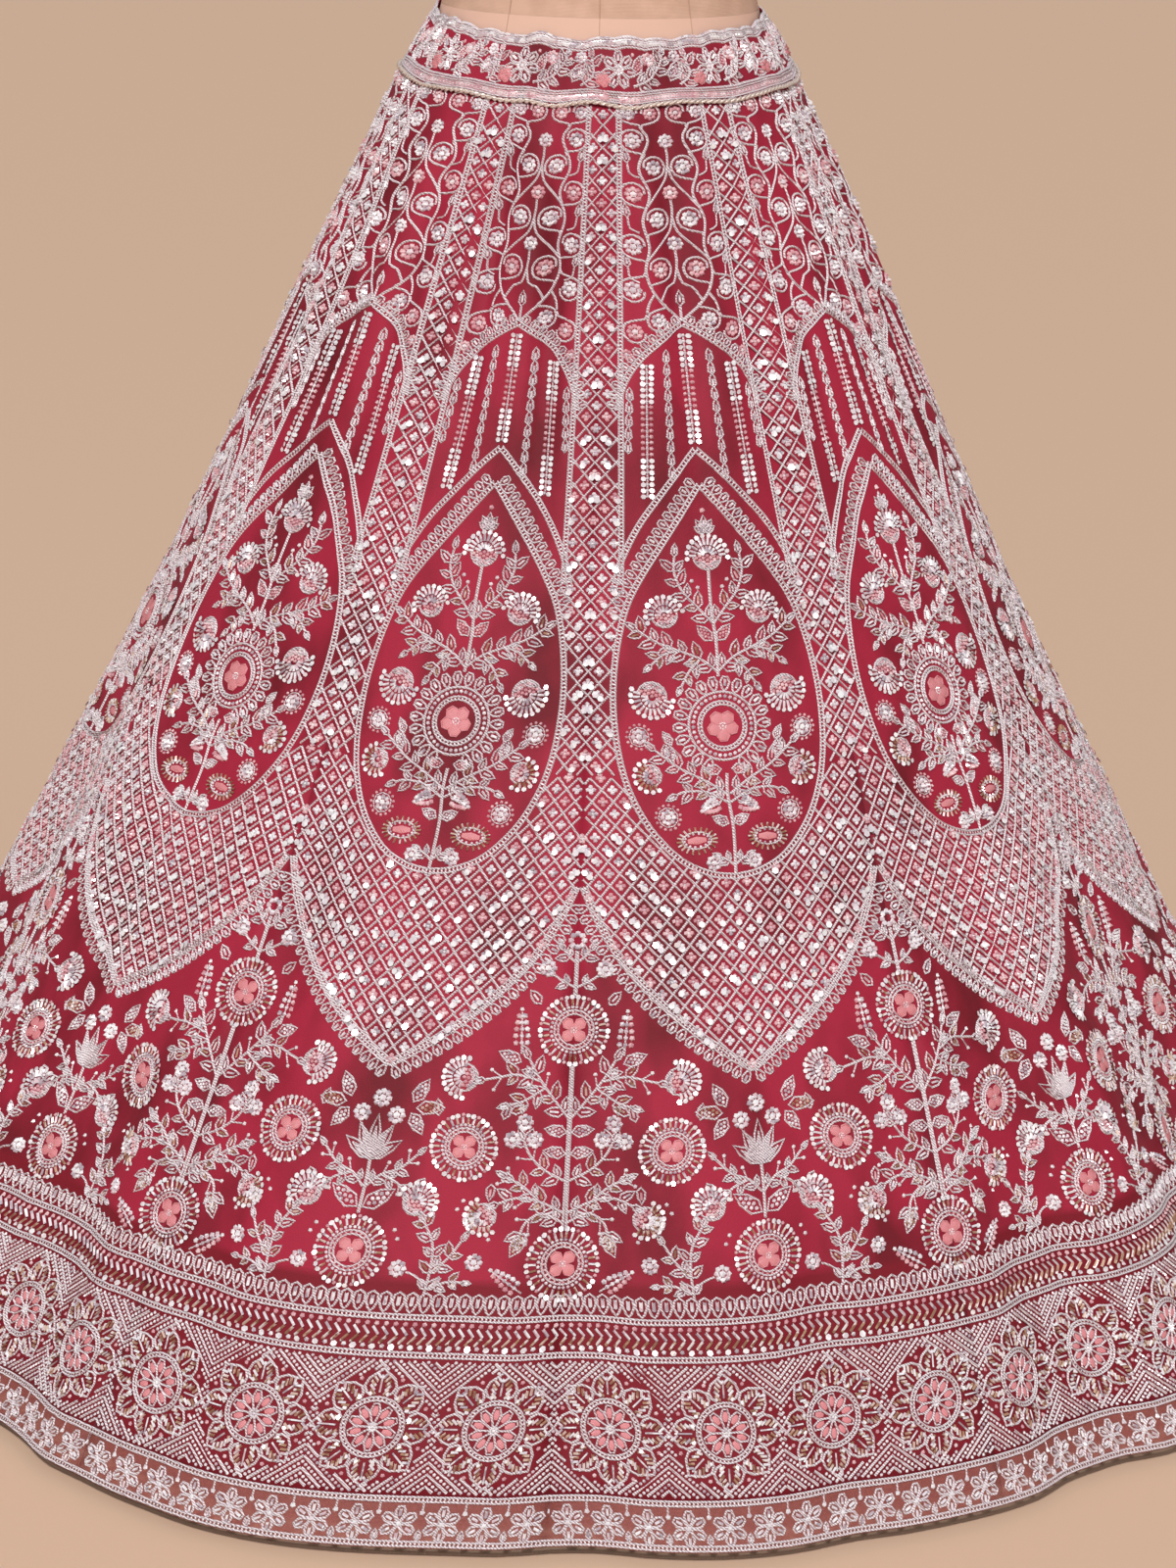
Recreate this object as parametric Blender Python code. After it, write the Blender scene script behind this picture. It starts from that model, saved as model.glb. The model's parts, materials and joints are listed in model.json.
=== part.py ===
"""A lehenga skirt of twelve flared gores (kalis), standing on a limbless dress form.

Metres, +Z up. The floor is at z = 0 and the form's axis is x = y = 0. The front faces -Y.
Angles go round the axis in degrees: 0 is centre front, 90 is +X, 180 is centre back.
A place on the skirt is an angle and a drop: 0 at the foot of the waistband, 1 at the hem.
"""
import bmesh
import bpy
from math import cos, hypot, pi, radians, sin
from mathutils import Vector

# Driving sizes of the skirt
KALIS = 12
BAND_FOOT = 0.930              # height of the waistband's foot at the sides
BAND_HEIGHT = 0.044
FRONT_DIP = 0.012              # the waist sits this much lower at centre front
HEM_HEIGHT = 0.010
WAIST_HALF_WIDTH = 0.147       # at the waistband's foot
WAIST_DEPTH_SHARE = 0.78       # depth of the waist over its width; the hem is round
HEM_RADIUS = 0.600
FLARE_HOLLOW = 0.009           # the flare curves in by this much half way down
NET_DROP = 0.966               # below this drop the net hangs with no lining
KALI_WALL = 0.0022
NET_WALL = 0.0014
GATHERS = 24                   # small pleats eased into the waistband
GATHER_DEPTH = 0.0018
GATHER_LENGTH = 0.30
SEAM_GAP = 0.0003

# Where each seam between two kalis runs: its angle at the waist and at the hem
SEAMS = [
    # waist, hem
    (1.5, -1.3),
    (35.0, 30.4),
    (68.0, 60.0),
    (97.0, 89.5),
    (124.0, 119.0),
    (151.0, 148.3),
    (178.5, 177.5),
    (206.0, 206.8),
    (233.0, 236.1),
    (262.0, 265.4),
    (294.5, 294.6),
    (332.0, 325.6),
]

# Hanging folds: ridges stand out, and troughs, with a negative depth, fall in
FOLDS = [
    # angle, half_width, depth, first_drop
    (-22, 20, 0.023, 0.40),
    (1, 8, -0.009, 0.50),
    (12, 9, 0.006, 0.45),
    (38, 8, -0.013, 0.45),
    (50, 8, 0.009, 0.45),
    (-45, 9, -0.014, 0.36),
    (-60, 8, 0.010, 0.30),
    (-75, 8, -0.024, 0.25),
    (-91, 9, 0.010, 0.30),
    (-106, 8, -0.026, 0.22),
    (-122, 9, 0.024, 0.18),
    (-138, 8, -0.030, 0.25),
    (-154, 9, 0.022, 0.20),
    (-169, 8, -0.026, 0.22),
    (65, 8, -0.018, 0.30),
    (80, 9, 0.009, 0.30),
    (96, 8, -0.024, 0.24),
    (112, 9, 0.026, 0.20),
    (129, 8, -0.030, 0.22),
    (145, 9, 0.022, 0.20),
    (160, 8, -0.024, 0.24),
    (176, 8, 0.024, 0.20),
]

# Waistband and its trims
BAND_WALL = 0.0022
BAND_EASE = 0.0005             # between the waistband's top and the form
RUCHES = 12                    # crumples of the waistband, all round
RUCHE_DEPTH = 0.0016
TRIM_WALL = 0.0012
LACE_HEIGHT = 0.009
LACE_STANDS_UP = 0.0015        # scallops of the lace over the waistband's edge
SCALLOPS = 36
BRAID_FOOT = 0.0035
BRAID_HEIGHT = 0.0075
PIPING_RADIUS = 0.0021

# Dress form: sections of the torso, and the stand under it
FORM = [
    # height, half_width, half_depth, forward
    (0.800, 0.150, 0.118, 0.000),
    (0.835, 0.153, 0.119, 0.000),
    (0.870, 0.151, 0.117, 0.000),
    (0.900, 0.1455, 0.1125, 0.000),
    (0.930, 0.1350, 0.1035, 0.000),
    (0.960, 0.1222, 0.0942, 0.000),
    (0.990, 0.1145, 0.0888, 0.000),
    (1.015, 0.1128, 0.0880, 0.001),
    (1.055, 0.1170, 0.0930, 0.002),
    (1.105, 0.1275, 0.1020, 0.005),
    (1.155, 0.1390, 0.1130, 0.010),
    (1.200, 0.1465, 0.1215, 0.014),
    (1.240, 0.1490, 0.1190, 0.012),
    (1.285, 0.1530, 0.1050, 0.005),
    (1.325, 0.1580, 0.0900, -0.001),
    (1.355, 0.1560, 0.0790, -0.004),
    (1.378, 0.1380, 0.0700, -0.005),
    (1.396, 0.1060, 0.0630, -0.005),
    (1.412, 0.0760, 0.0575, -0.004),
    (1.432, 0.0600, 0.0545, -0.003),
    (1.480, 0.0550, 0.0530, 0.000),
]
CAP_RADIUS = 0.050
CAP_HEIGHT = 0.012
POLE_RADIUS = 0.0125
BASE_RADIUS = 0.165
BASE_HEIGHT = 0.012
HUB_RADIUS = 0.026
HUB_HEIGHT = 0.040
EDGE_ROUNDING = 0.003

# How finely the solids are cut
KALI_COLUMNS, KALI_ROWS = 10, 10
BAND_COLUMNS, BAND_ROWS = 72, 3
FORM_COLUMNS = 40
MERGE = 1e-6


def smooth_step(share):
    """0 below 0, 1 above 1, and a soft climb between."""
    share = min(max(share, 0.0), 1.0)
    return share * share * (3.0 - 2.0 * share)


def turn_from(angle, other):
    """The turn from one angle to another, between -180 and 180 degrees."""
    return (angle - other + 180.0) % 360.0 - 180.0


def ellipse_point(angle, half_width, half_depth, height, out=0.0, forward=0.0):
    """A point of a level ellipse, moved outwards by out."""
    turn = radians(angle)
    normal_x = half_depth * sin(turn)
    normal_y = -half_width * cos(turn)
    length = hypot(normal_x, normal_y)
    return Vector((
        half_width * sin(turn) + out * normal_x / length,
        -forward - half_depth * cos(turn) + out * normal_y / length,
        height,
    ))


def skirt_half_width(drop):
    """The flare: half the skirt's width at a drop."""
    straight = WAIST_HALF_WIDTH + (HEM_RADIUS - WAIST_HALF_WIDTH) * drop
    return straight - FLARE_HOLLOW * sin(pi * drop)


def fold_depth(angle, drop):
    """How far gathers and folds carry the cloth out of the plain flare."""
    gather_share = min(drop / 0.05, 1.0) * (1.0 - smooth_step(drop / GATHER_LENGTH))
    depth = GATHER_DEPTH * gather_share * cos(radians(GATHERS * angle))
    for fold_angle, half_width, fold, first_drop in FOLDS:
        across = abs(turn_from(angle, fold_angle)) / half_width
        if across < 1.0 and drop > first_drop:
            grown = smooth_step((drop - first_drop) / (1.0 - first_drop))
            depth += fold * grown * (1.0 + cos(pi * across)) / 2.0
    return depth


def skirt_point(angle, drop, out=0.0):
    """A point of the skirt's outer face, moved outwards by out."""
    half_width = skirt_half_width(drop)
    flattening = (1.0 - WAIST_DEPTH_SHARE) * (1.0 - drop) ** 3
    half_depth = half_width * (1.0 - flattening)
    top = BAND_FOOT - FRONT_DIP * cos(radians(angle))
    height = top + (HEM_HEIGHT - top) * drop
    return ellipse_point(angle, half_width, half_depth, height, out + fold_depth(angle, drop))


def seam_angle(seam, drop):
    """The angle of a seam at a drop; seams count on past the twelfth."""
    rounds, number = divmod(seam, KALIS)
    waist, hem = SEAMS[number]
    return 360.0 * rounds + waist + (hem - waist) * drop


def kali_angle(kali, across, drop):
    """The angle at a share of a kali's width, clear of its seams by half a gap."""
    left, right = seam_angle(kali, drop), seam_angle(kali + 1, drop)
    inset = SEAM_GAP / 2.0 / radians(1.0) / skirt_half_width(drop) / WAIST_DEPTH_SHARE
    return left + inset + (right - left - 2.0 * inset) * across


def form_section(height):
    """Half width, half depth and forward shift of the torso at a height."""
    for lower, upper in zip(FORM, FORM[1:]):
        if height <= upper[0]:
            share = (height - lower[0]) / (upper[0] - lower[0])
            return [low + (high - low) * share for low, high in zip(lower[1:], upper[1:])]
    return list(FORM[-1][1:])


def band_point(angle, rise, out=0.0):
    """A point of the waistband's inner face, moved outwards; rise is 0 at its foot, 1 on top."""
    foot = skirt_point(angle, 0.0, -BAND_WALL)
    top_height = foot.z + BAND_HEIGHT
    half_width, half_depth, forward = form_section(top_height)
    top = ellipse_point(angle, half_width, half_depth, top_height, BAND_EASE, forward)
    point = foot.lerp(top, rise)
    away = Vector((point.x, point.y, 0.0)).normalized()
    return point + out * away


def ruche(angle, rise):
    """How far the crumpled waistband swells outwards; nothing at its foot and its top edge."""
    swell = 0.5 + 0.5 * sin(radians(RUCHES * angle) + 2.2 * rise)
    return RUCHE_DEPTH * swell * sin(pi * rise)


def make_material(name, colour, roughness, metallic=0.0):
    material = bpy.data.materials.new(name)
    material.use_nodes = True
    shader = material.node_tree.nodes["Principled BSDF"]
    shader.inputs["Base Color"].default_value = (*colour, 1.0)
    shader.inputs["Roughness"].default_value = roughness
    shader.inputs["Metallic"].default_value = metallic
    return material


def finish_mesh(name, mesh, material):
    """Turn a bmesh into a named object of the garment's collection."""
    bmesh.ops.recalc_face_normals(mesh, faces=mesh.faces)
    data = bpy.data.meshes.new(name)
    mesh.to_mesh(data)
    mesh.free()
    data.materials.append(material)
    data.shade_smooth()
    data.set_sharp_from_angle(angle=radians(40.0))
    thing = bpy.data.objects.new(name, data)
    garment.objects.link(thing)
    return thing


def cloth_wall(name, columns, rows, outer, inner, material, ring=False):
    """A wall: a grid on its outer face, extruded to its inner one; a ring meets its start."""
    mesh = bmesh.new()
    across = mesh.verts.layers.float.new("across")
    down = mesh.verts.layers.float.new("down")
    grid = bmesh.ops.create_grid(mesh, x_segments=columns, y_segments=rows, size=0.5)
    for vert in grid["verts"]:
        vert[across], vert[down] = vert.co.x + 0.5, vert.co.y + 0.5
        vert.co = outer(vert[across], vert[down])
    if ring:
        bmesh.ops.remove_doubles(mesh, verts=mesh.verts, dist=MERGE)
    wall = bmesh.ops.extrude_face_region(mesh, geom=mesh.faces[:])
    for part in wall["geom"]:
        if isinstance(part, bmesh.types.BMVert):
            part.co = inner(part[across], part[down])
    return finish_mesh(name, mesh, material)


def make_kali(kali, material):
    """One gore of embroidered net with its lining, from the waistband to the net border."""
    first_drop = SEAM_GAP / BAND_FOOT

    def face(out):
        def point(across, down):
            drop = first_drop + (NET_DROP - first_drop) * down
            return skirt_point(kali_angle(kali, across, drop), drop, out)
        return point

    cloth_wall(f"kali_{kali + 1:02d}", KALI_COLUMNS, KALI_ROWS, face(0.0), face(-KALI_WALL), material)


def make_hem_net(kali, material):
    """The sheer border of one gore, where the net hangs below its lining."""
    first_drop = NET_DROP + SEAM_GAP / BAND_FOOT

    def face(out):
        def point(across, down):
            drop = first_drop + (1.0 - first_drop) * down
            return skirt_point(kali_angle(kali, across, drop), drop, out)
        return point

    cloth_wall(f"hem_net_{kali + 1:02d}", KALI_COLUMNS, 1, face(0.0), face(-NET_WALL), material)


def make_waistband(name, start, end, material):
    """Half of the waistband, from side seam to side seam, crumpled on its outer face."""
    inset = SEAM_GAP / 2.0 / radians(1.0) / (WAIST_HALF_WIDTH * WAIST_DEPTH_SHARE)

    def outer(across, rise):
        angle = start + inset + (end - start - 2.0 * inset) * across
        return band_point(angle, rise, BAND_WALL + ruche(angle, rise))

    def inner(across, rise):
        angle = start + inset + (end - start - 2.0 * inset) * across
        return band_point(angle, rise)

    cloth_wall(name, BAND_COLUMNS // 2, BAND_ROWS, outer, inner, material)


def make_trim(name, foot, height, scallop, material):
    """A flat trim sewn round the waistband: foot and height along it, and wavy at its top."""

    def face(out):
        def point(across, up):
            angle = 360.0 * across
            rise = (foot + height * up) / BAND_HEIGHT
            away = BAND_WALL + ruche(angle, min(rise, 1.0)) + SEAM_GAP + out
            wave = scallop * up * abs(cos(radians(SCALLOPS * angle / 2.0)))
            return band_point(angle, rise, away) + Vector((0.0, 0.0, wave))
        return point

    cloth_wall(name, BAND_COLUMNS, 1, face(TRIM_WALL), face(0.0), material, ring=True)


def make_piping(material):
    """The thick metallic cord over the seam between waistband and kalis."""
    curve = bpy.data.curves.new("waist_piping", "CURVE")
    curve.dimensions = "3D"
    curve.bevel_depth = PIPING_RADIUS
    curve.bevel_resolution = 1
    spline = curve.splines.new("POLY")
    spline.points.add(BAND_COLUMNS - 1)
    spline.use_cyclic_u = True
    for number, point in enumerate(spline.points):
        angle = 360.0 * number / BAND_COLUMNS
        out = PIPING_RADIUS + 2.0 * SEAM_GAP
        point.co = (*skirt_point(angle, 0.0, out), 1.0)
    curve.materials.append(material)
    garment.objects.link(bpy.data.objects.new("waist_piping", curve))


def make_torso(material):
    """The padded torso: level sections lofted from the hips to the neck, with flat ends."""
    mesh = bmesh.new()
    rings = []
    for height, half_width, half_depth, forward in FORM:
        ring = bmesh.ops.create_circle(mesh, segments=FORM_COLUMNS, radius=1.0)["verts"]
        for number, vert in enumerate(ring):
            angle = 360.0 * number / FORM_COLUMNS
            vert.co = ellipse_point(angle, half_width, half_depth, height, 0.0, forward)
        rings.append(ring)
    for lower, upper in zip(rings, rings[1:]):
        for number in range(FORM_COLUMNS):
            after = (number + 1) % FORM_COLUMNS
            mesh.faces.new((lower[number], lower[after], upper[after], upper[number]))
    for ring in (rings[0], rings[-1]):
        mesh.faces.new(ring)
    finish_mesh("form_torso", mesh, material)


def make_disc(name, radius, bottom, height, material, segments=48, rounding=0.0):
    """An upright cylinder, with its rims rounded where rounding isn't 0."""
    mesh = bmesh.new()
    bmesh.ops.create_cone(mesh, cap_ends=True, segments=segments, radius1=radius, radius2=radius,
                          depth=height)
    bmesh.ops.translate(mesh, verts=mesh.verts, vec=(0.0, 0.0, bottom + height / 2.0))
    if rounding:
        rims = [edge for edge in mesh.edges
                if edge.calc_face_angle() > radians(60.0) and edge.verts[0].co.z > bottom + height / 2.0]
        bmesh.ops.bevel(mesh, geom=rims, offset=rounding, segments=2, profile=0.5, affect="EDGES")
    return finish_mesh(name, mesh, material)


def make_stand(steel, wood):
    """A round base with a hub, a pole up into the torso, and a cap on the neck."""
    make_disc("form_base", BASE_RADIUS, 0.0, BASE_HEIGHT, steel, rounding=EDGE_ROUNDING)
    hub_foot = BASE_HEIGHT + SEAM_GAP
    make_disc("form_hub", HUB_RADIUS, hub_foot, HUB_HEIGHT, steel, 32, EDGE_ROUNDING)
    pole_foot = hub_foot + HUB_HEIGHT + SEAM_GAP
    make_disc("form_pole", POLE_RADIUS, pole_foot, FORM[0][0] - SEAM_GAP - pole_foot, steel, 24)
    make_disc("form_neck_cap", CAP_RADIUS, FORM[-1][0] + SEAM_GAP, CAP_HEIGHT, wood, 40, EDGE_ROUNDING)


for old in list(bpy.data.objects):
    bpy.data.objects.remove(old)
garment = bpy.data.collections.new("lehenga_skirt_on_form")
bpy.context.scene.collection.children.link(garment)

red_cloth = make_material("embroidered_net_over_satin", (0.42, 0.022, 0.060), 0.55)
sheer_net = make_material("sheer_hem_net", (0.50, 0.16, 0.17), 0.60)
silver_braid = make_material("silver_braid", (0.62, 0.50, 0.47), 0.45, 0.4)
metal_cord = make_material("metallic_cord", (0.70, 0.62, 0.52), 0.35, 0.7)
linen = make_material("form_linen", (0.62, 0.46, 0.35), 0.85)
dark_steel = make_material("stand_steel", (0.10, 0.10, 0.11), 0.40, 0.9)
pale_wood = make_material("cap_wood", (0.45, 0.28, 0.15), 0.50)

for kali_number in range(KALIS):
    make_kali(kali_number, red_cloth)
    make_hem_net(kali_number, sheer_net)
make_waistband("waistband_front", -90.0, 90.0, red_cloth)
make_waistband("waistband_back", 90.0, 270.0, red_cloth)
make_trim("waist_lace", BAND_HEIGHT - LACE_HEIGHT, LACE_HEIGHT, LACE_STANDS_UP, silver_braid)
make_trim("waist_braid", BRAID_FOOT, BRAID_HEIGHT, 0.0, silver_braid)
make_piping(metal_cord)
make_torso(linen)
make_stand(dark_steel, pale_wood)
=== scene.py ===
# %% [markdown]
# A lehenga skirt of twelve gores (kalis) on a dress form. Its solids are already packed as a fixed
# frame, in metres. This script dresses them: thin cloth with folds and creases, and the embroidery,
# which is real relief: laid cord (dori), ladder braid, glass beads, sequins, bugles and silk petals.
# The work is stitched flat once, in millimetres, on half a gore, and then laid on the curved cloth.

import bpy
import json
import numpy as np
from math import atan2, ceil, cos, degrees, pi, radians, sin
from mathutils import Matrix, Vector

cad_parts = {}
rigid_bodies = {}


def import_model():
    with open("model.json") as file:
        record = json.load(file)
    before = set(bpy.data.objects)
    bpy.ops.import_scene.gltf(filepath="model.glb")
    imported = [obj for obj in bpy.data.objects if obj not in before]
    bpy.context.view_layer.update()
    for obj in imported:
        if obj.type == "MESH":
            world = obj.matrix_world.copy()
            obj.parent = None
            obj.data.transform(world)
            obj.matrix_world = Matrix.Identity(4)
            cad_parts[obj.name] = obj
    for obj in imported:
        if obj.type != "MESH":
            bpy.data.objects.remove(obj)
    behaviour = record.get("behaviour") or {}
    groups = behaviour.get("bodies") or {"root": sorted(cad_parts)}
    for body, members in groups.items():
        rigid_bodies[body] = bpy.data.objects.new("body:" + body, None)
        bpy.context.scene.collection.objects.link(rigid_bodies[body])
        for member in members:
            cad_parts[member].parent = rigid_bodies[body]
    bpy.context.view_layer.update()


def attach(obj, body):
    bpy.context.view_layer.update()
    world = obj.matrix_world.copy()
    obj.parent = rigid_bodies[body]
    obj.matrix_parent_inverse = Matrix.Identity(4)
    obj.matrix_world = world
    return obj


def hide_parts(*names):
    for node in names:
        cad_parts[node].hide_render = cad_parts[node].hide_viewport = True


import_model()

# %% [markdown]
# The cloth hangs as a flare whose half width grows from waist to hem. A place on it is an angle
# round the form, 0 at centre front and 90 at +X, and a drop, 0 at the waistband and 1 at the hem.
# Seams, gathers and folds come from short tables. These are the same sizes as the solids have, so
# the fine cloth lies where the solid walls are, and only the small creases are new.

# %% Sizes of the skirt
KALIS = 12
BAND_FOOT, BAND_HEIGHT, FRONT_DIP = 0.930, 0.044, 0.012
WAIST_HALF_WIDTH, WAIST_DEPTH_SHARE = 0.147, 0.78
HEM_RADIUS, HEM_HEIGHT, FLARE_HOLLOW = 0.600, 0.010, 0.009
NET_DROP = 0.966
GATHERS, GATHER_DEPTH, GATHER_LENGTH = 24, 0.0018, 0.30

# The angle of each seam at the waist and at the hem
SEAMS = [
    # waist, hem
    (1.5, -1.3), (35.0, 30.4), (68.0, 60.0), (97.0, 89.5), (124.0, 119.0), (151.0, 148.3),
    (178.5, 177.5), (206.0, 206.8), (233.0, 236.1), (262.0, 265.4), (294.5, 294.6), (332.0, 325.6),
]

# Hanging folds, as the solids have them
FOLDS = [
    # angle, half_width, depth, first_drop
    (-22, 20, 0.023, 0.40), (1, 8, -0.009, 0.50), (12, 9, 0.006, 0.45), (38, 8, -0.013, 0.45),
    (50, 8, 0.009, 0.45), (-45, 9, -0.014, 0.36), (-60, 8, 0.010, 0.30), (-75, 8, -0.024, 0.25),
    (-91, 9, 0.010, 0.30), (-106, 8, -0.026, 0.22), (-122, 9, 0.024, 0.18), (-138, 8, -0.030, 0.25),
    (-154, 9, 0.022, 0.20), (-169, 8, -0.026, 0.22), (65, 8, -0.018, 0.30), (80, 9, 0.009, 0.30),
    (96, 8, -0.024, 0.24), (112, 9, 0.026, 0.20), (129, 8, -0.030, 0.22), (145, 9, 0.022, 0.20),
    (160, 8, -0.024, 0.24), (176, 8, 0.024, 0.20),
]

# Small creases that only the fine cloth has, deepest midway between their two ends
CREASES = [
    # angle, half_width, depth, first_drop, last_drop
    (-41, 4.2, -0.0050, 0.02, 0.42), (-35, 3.5, 0.0030, 0.02, 0.30), (-8, 3.6, -0.0090, 0.00, 0.36),
    (-13, 3.5, 0.0036, 0.01, 0.26), (17, 3.6, -0.0085, 0.00, 0.32), (24, 3.8, 0.0034, 0.02, 0.27),
    (44, 3.8, -0.0046, 0.02, 0.40), (51, 3.5, 0.0030, 0.03, 0.30), (60, 4.0, -0.0044, 0.02, 0.35),
    (-54, 4.2, -0.0046, 0.02, 0.38), (-66, 3.8, 0.0034, 0.02, 0.30), (-80, 4.2, -0.0050, 0.03, 0.42),
    (78, 4.2, -0.0050, 0.03, 0.40), (90, 3.8, 0.0036, 0.02, 0.30), (104, 4.2, -0.0052, 0.03, 0.45),
    (120, 3.8, 0.0036, 0.02, 0.33), (137, 4.2, -0.0050, 0.03, 0.42), (153, 3.5, 0.0030, 0.02, 0.28),
    (168, 4.2, -0.0050, 0.02, 0.40), (-97, 3.8, 0.0034, 0.02, 0.30), (-113, 4.2, -0.0050, 0.03, 0.44),
    (-131, 3.8, 0.0036, 0.02, 0.30), (-148, 4.2, -0.0052, 0.03, 0.40), (-163, 3.8, 0.0034, 0.02, 0.28),
    (-178, 4.2, -0.0050, 0.03, 0.42), (-28, 4.0, -0.0050, 0.45, 1.05), (-38, 3.6, 0.0050, 0.50, 1.10),
    (34, 3.2, 0.0046, 0.55, 1.10), (42, 3.2, -0.0060, 0.50, 1.10), (19, 4.2, -0.0040, 0.60, 1.10),
    (5, 3.2, 0.0034, 0.62, 1.10), (-4, 3.4, 0.0030, 0.70, 1.10), (-52, 3.2, -0.0050, 0.40, 1.05),
    (57, 3.4, -0.0050, 0.45, 1.10), (88, 3.6, 0.0060, 0.45, 1.10), (-84, 3.6, 0.0060, 0.40, 1.10),
    (121, 3.6, -0.0060, 0.50, 1.10), (-129, 3.6, -0.0060, 0.45, 1.10), (152, 3.6, 0.0060, 0.50, 1.10),
    (-161, 3.8, 0.0060, 0.50, 1.10), (170, 3.4, 0.0050, 0.50, 1.10), (-114, 3.4, 0.0050, 0.55, 1.10),
    (5, 3.4, -0.0062, -0.04, 0.27), (11, 3.3, 0.0034, -0.02, 0.22), (31, 3.7, -0.0068, -0.03, 0.36),
    (37, 3.4, 0.0030, 0.02, 0.24), (-22, 3.7, -0.0076, -0.03, 0.31), (-28, 3.5, 0.0036, -0.02, 0.26),
    (-47, 3.5, 0.0030, 0.01, 0.28), (69, 4.1, -0.0050, 0.01, 0.37), (84, 3.5, -0.0036, 0.02, 0.24),
    (97, 3.8, -0.0040, 0.01, 0.30), (112, 4.0, -0.0052, 0.02, 0.38), (129, 3.7, -0.0038, 0.01, 0.27),
    (146, 4.1, -0.0050, 0.02, 0.36), (161, 3.6, -0.0036, 0.01, 0.29), (175, 4.0, -0.0046, 0.02, 0.34),
    (-60, 3.8, -0.0040, 0.01, 0.30), (-73, 3.9, -0.0050, 0.02, 0.35), (-89, 3.6, -0.0036, 0.01, 0.26),
    (-105, 4.1, -0.0050, 0.02, 0.37), (-122, 3.7, -0.0038, 0.01, 0.28), (-140, 4.0, -0.0048, 0.02, 0.34),
    (-156, 3.7, -0.0040, 0.01, 0.30), (-171, 3.9, -0.0046, 0.02, 0.33),
]
print(KALIS, "gores,", len(FOLDS), "folds and", len(CREASES), "small creases")


# %% The shape of the hanging cloth
def smooth_step(share):
    share = np.clip(share, 0.0, 1.0)
    return share * share * (3.0 - 2.0 * share)


def bump_across(angle, centre, half_width):
    """1 at the centre angle and 0 beyond half_width from it, round the form."""
    away = np.abs((angle - centre + 180.0) % 360.0 - 180.0) / half_width
    return np.where(away < 1.0, (1.0 + np.cos(pi * np.minimum(away, 1.0))) / 2.0, 0.0)


def skirt_half_width(drop):
    """Half the width of the plain flare, which hollows in a little halfway down."""
    straight = WAIST_HALF_WIDTH + (HEM_RADIUS - WAIST_HALF_WIDTH) * drop
    return straight - FLARE_HOLLOW * np.sin(pi * drop)


def relief(angle, drop):
    """How far gathers, folds and creases carry the cloth out of its plain flare."""
    gathered = np.minimum(drop / 0.05, 1.0) * (1.0 - smooth_step(drop / GATHER_LENGTH))
    depth = GATHER_DEPTH * gathered * np.cos(np.radians(GATHERS * angle))
    for centre, half_width, fold, first in FOLDS:
        grown = smooth_step((drop - first) / (1.0 - first))
        depth = depth + fold * grown * bump_across(angle, centre, half_width)
    for centre, half_width, crease, first, last in CREASES:
        along = np.sin(pi * np.clip((drop - first) / (last - first), 0.0, 1.0))
        depth = depth + crease * along * bump_across(angle, centre, half_width)
    return depth


def ellipse_place(angle, half_width, half_depth, height, out=0.0, forward=0.0):
    """Points of level ellipses, moved outwards by out."""
    turn = np.radians(angle)
    normal_x, normal_y = half_depth * np.sin(turn), -half_width * np.cos(turn)
    length = np.hypot(normal_x, normal_y)
    x = half_width * np.sin(turn) + out * normal_x / length
    y = -forward - half_depth * np.cos(turn) + out * normal_y / length
    return np.stack([x, y, height + 0.0 * x], axis=-1)


def skirt_place(angle, drop, out=0.0):
    """Points on the outer face of the cloth, moved outwards by out metres."""
    half_width = skirt_half_width(drop)
    half_depth = half_width * (1.0 - (1.0 - WAIST_DEPTH_SHARE) * (1.0 - drop) ** 3)
    top = BAND_FOOT - FRONT_DIP * np.cos(np.radians(angle))
    height = top + (HEM_HEIGHT - top) * drop
    return ellipse_place(angle, half_width, half_depth, height, out + relief(angle, drop))


def kali_angle(kali, across, drop):
    """The angle at a share of a kali's width, -1 at its left seam and 1 at its right one."""
    waist_left, hem_left = SEAMS[kali]
    waist_right, hem_right = SEAMS[(kali + 1) % KALIS]
    turn = 360.0 if kali == KALIS - 1 else 0.0
    left = waist_left + (hem_left - waist_left) * drop
    right = turn + waist_right + (hem_right - waist_right) * drop
    return (left + right) / 2.0 + (right - left) / 2.0 * across


print("the plain flare is", round(2.0 * float(skirt_half_width(1.0)), 3), "m wide at the hem")

# %% [markdown]
# Materials come before the pieces. Each is a small node tree on one Principled shader. Colour
# changes and bump read Object coordinates, which stay fixed on the cloth in every view, and the
# gores also read their own UV map, because the dark border follows the hem and not the floor.

# %% Material helpers
def new_material(name, colour, roughness, metallic=0.0):
    """A material and its shader, with the constants set straight on the shader."""
    material = bpy.data.materials.new(name)
    material.use_nodes = True
    shader = material.node_tree.nodes["Principled BSDF"]
    shader.inputs["Base Color"].default_value = (*colour, 1.0)
    shader.inputs["Roughness"].default_value = roughness
    shader.inputs["Metallic"].default_value = metallic
    return material, shader


def add_node(material, kind, **settings):
    node = material.node_tree.nodes.new(kind)
    for key, value in settings.items():
        if key in node.inputs:
            node.inputs[key].default_value = value
        else:
            setattr(node, key.lower(), value)
    return node


def link(material, start, end):
    material.node_tree.links.new(start, end)


def object_texture(material, kind, upright=1.0, **settings):
    """A texture node that reads Object coordinates, drawn out upwards if upright is under 1."""
    place = add_node(material, "ShaderNodeTexCoord")
    stretch = add_node(material, "ShaderNodeMapping", Scale=(1.0, 1.0, upright))
    texture = add_node(material, kind, **settings)
    link(material, place.outputs["Object"], stretch.inputs["Vector"])
    link(material, stretch.outputs["Vector"], texture.inputs["Vector"])
    return texture


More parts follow.
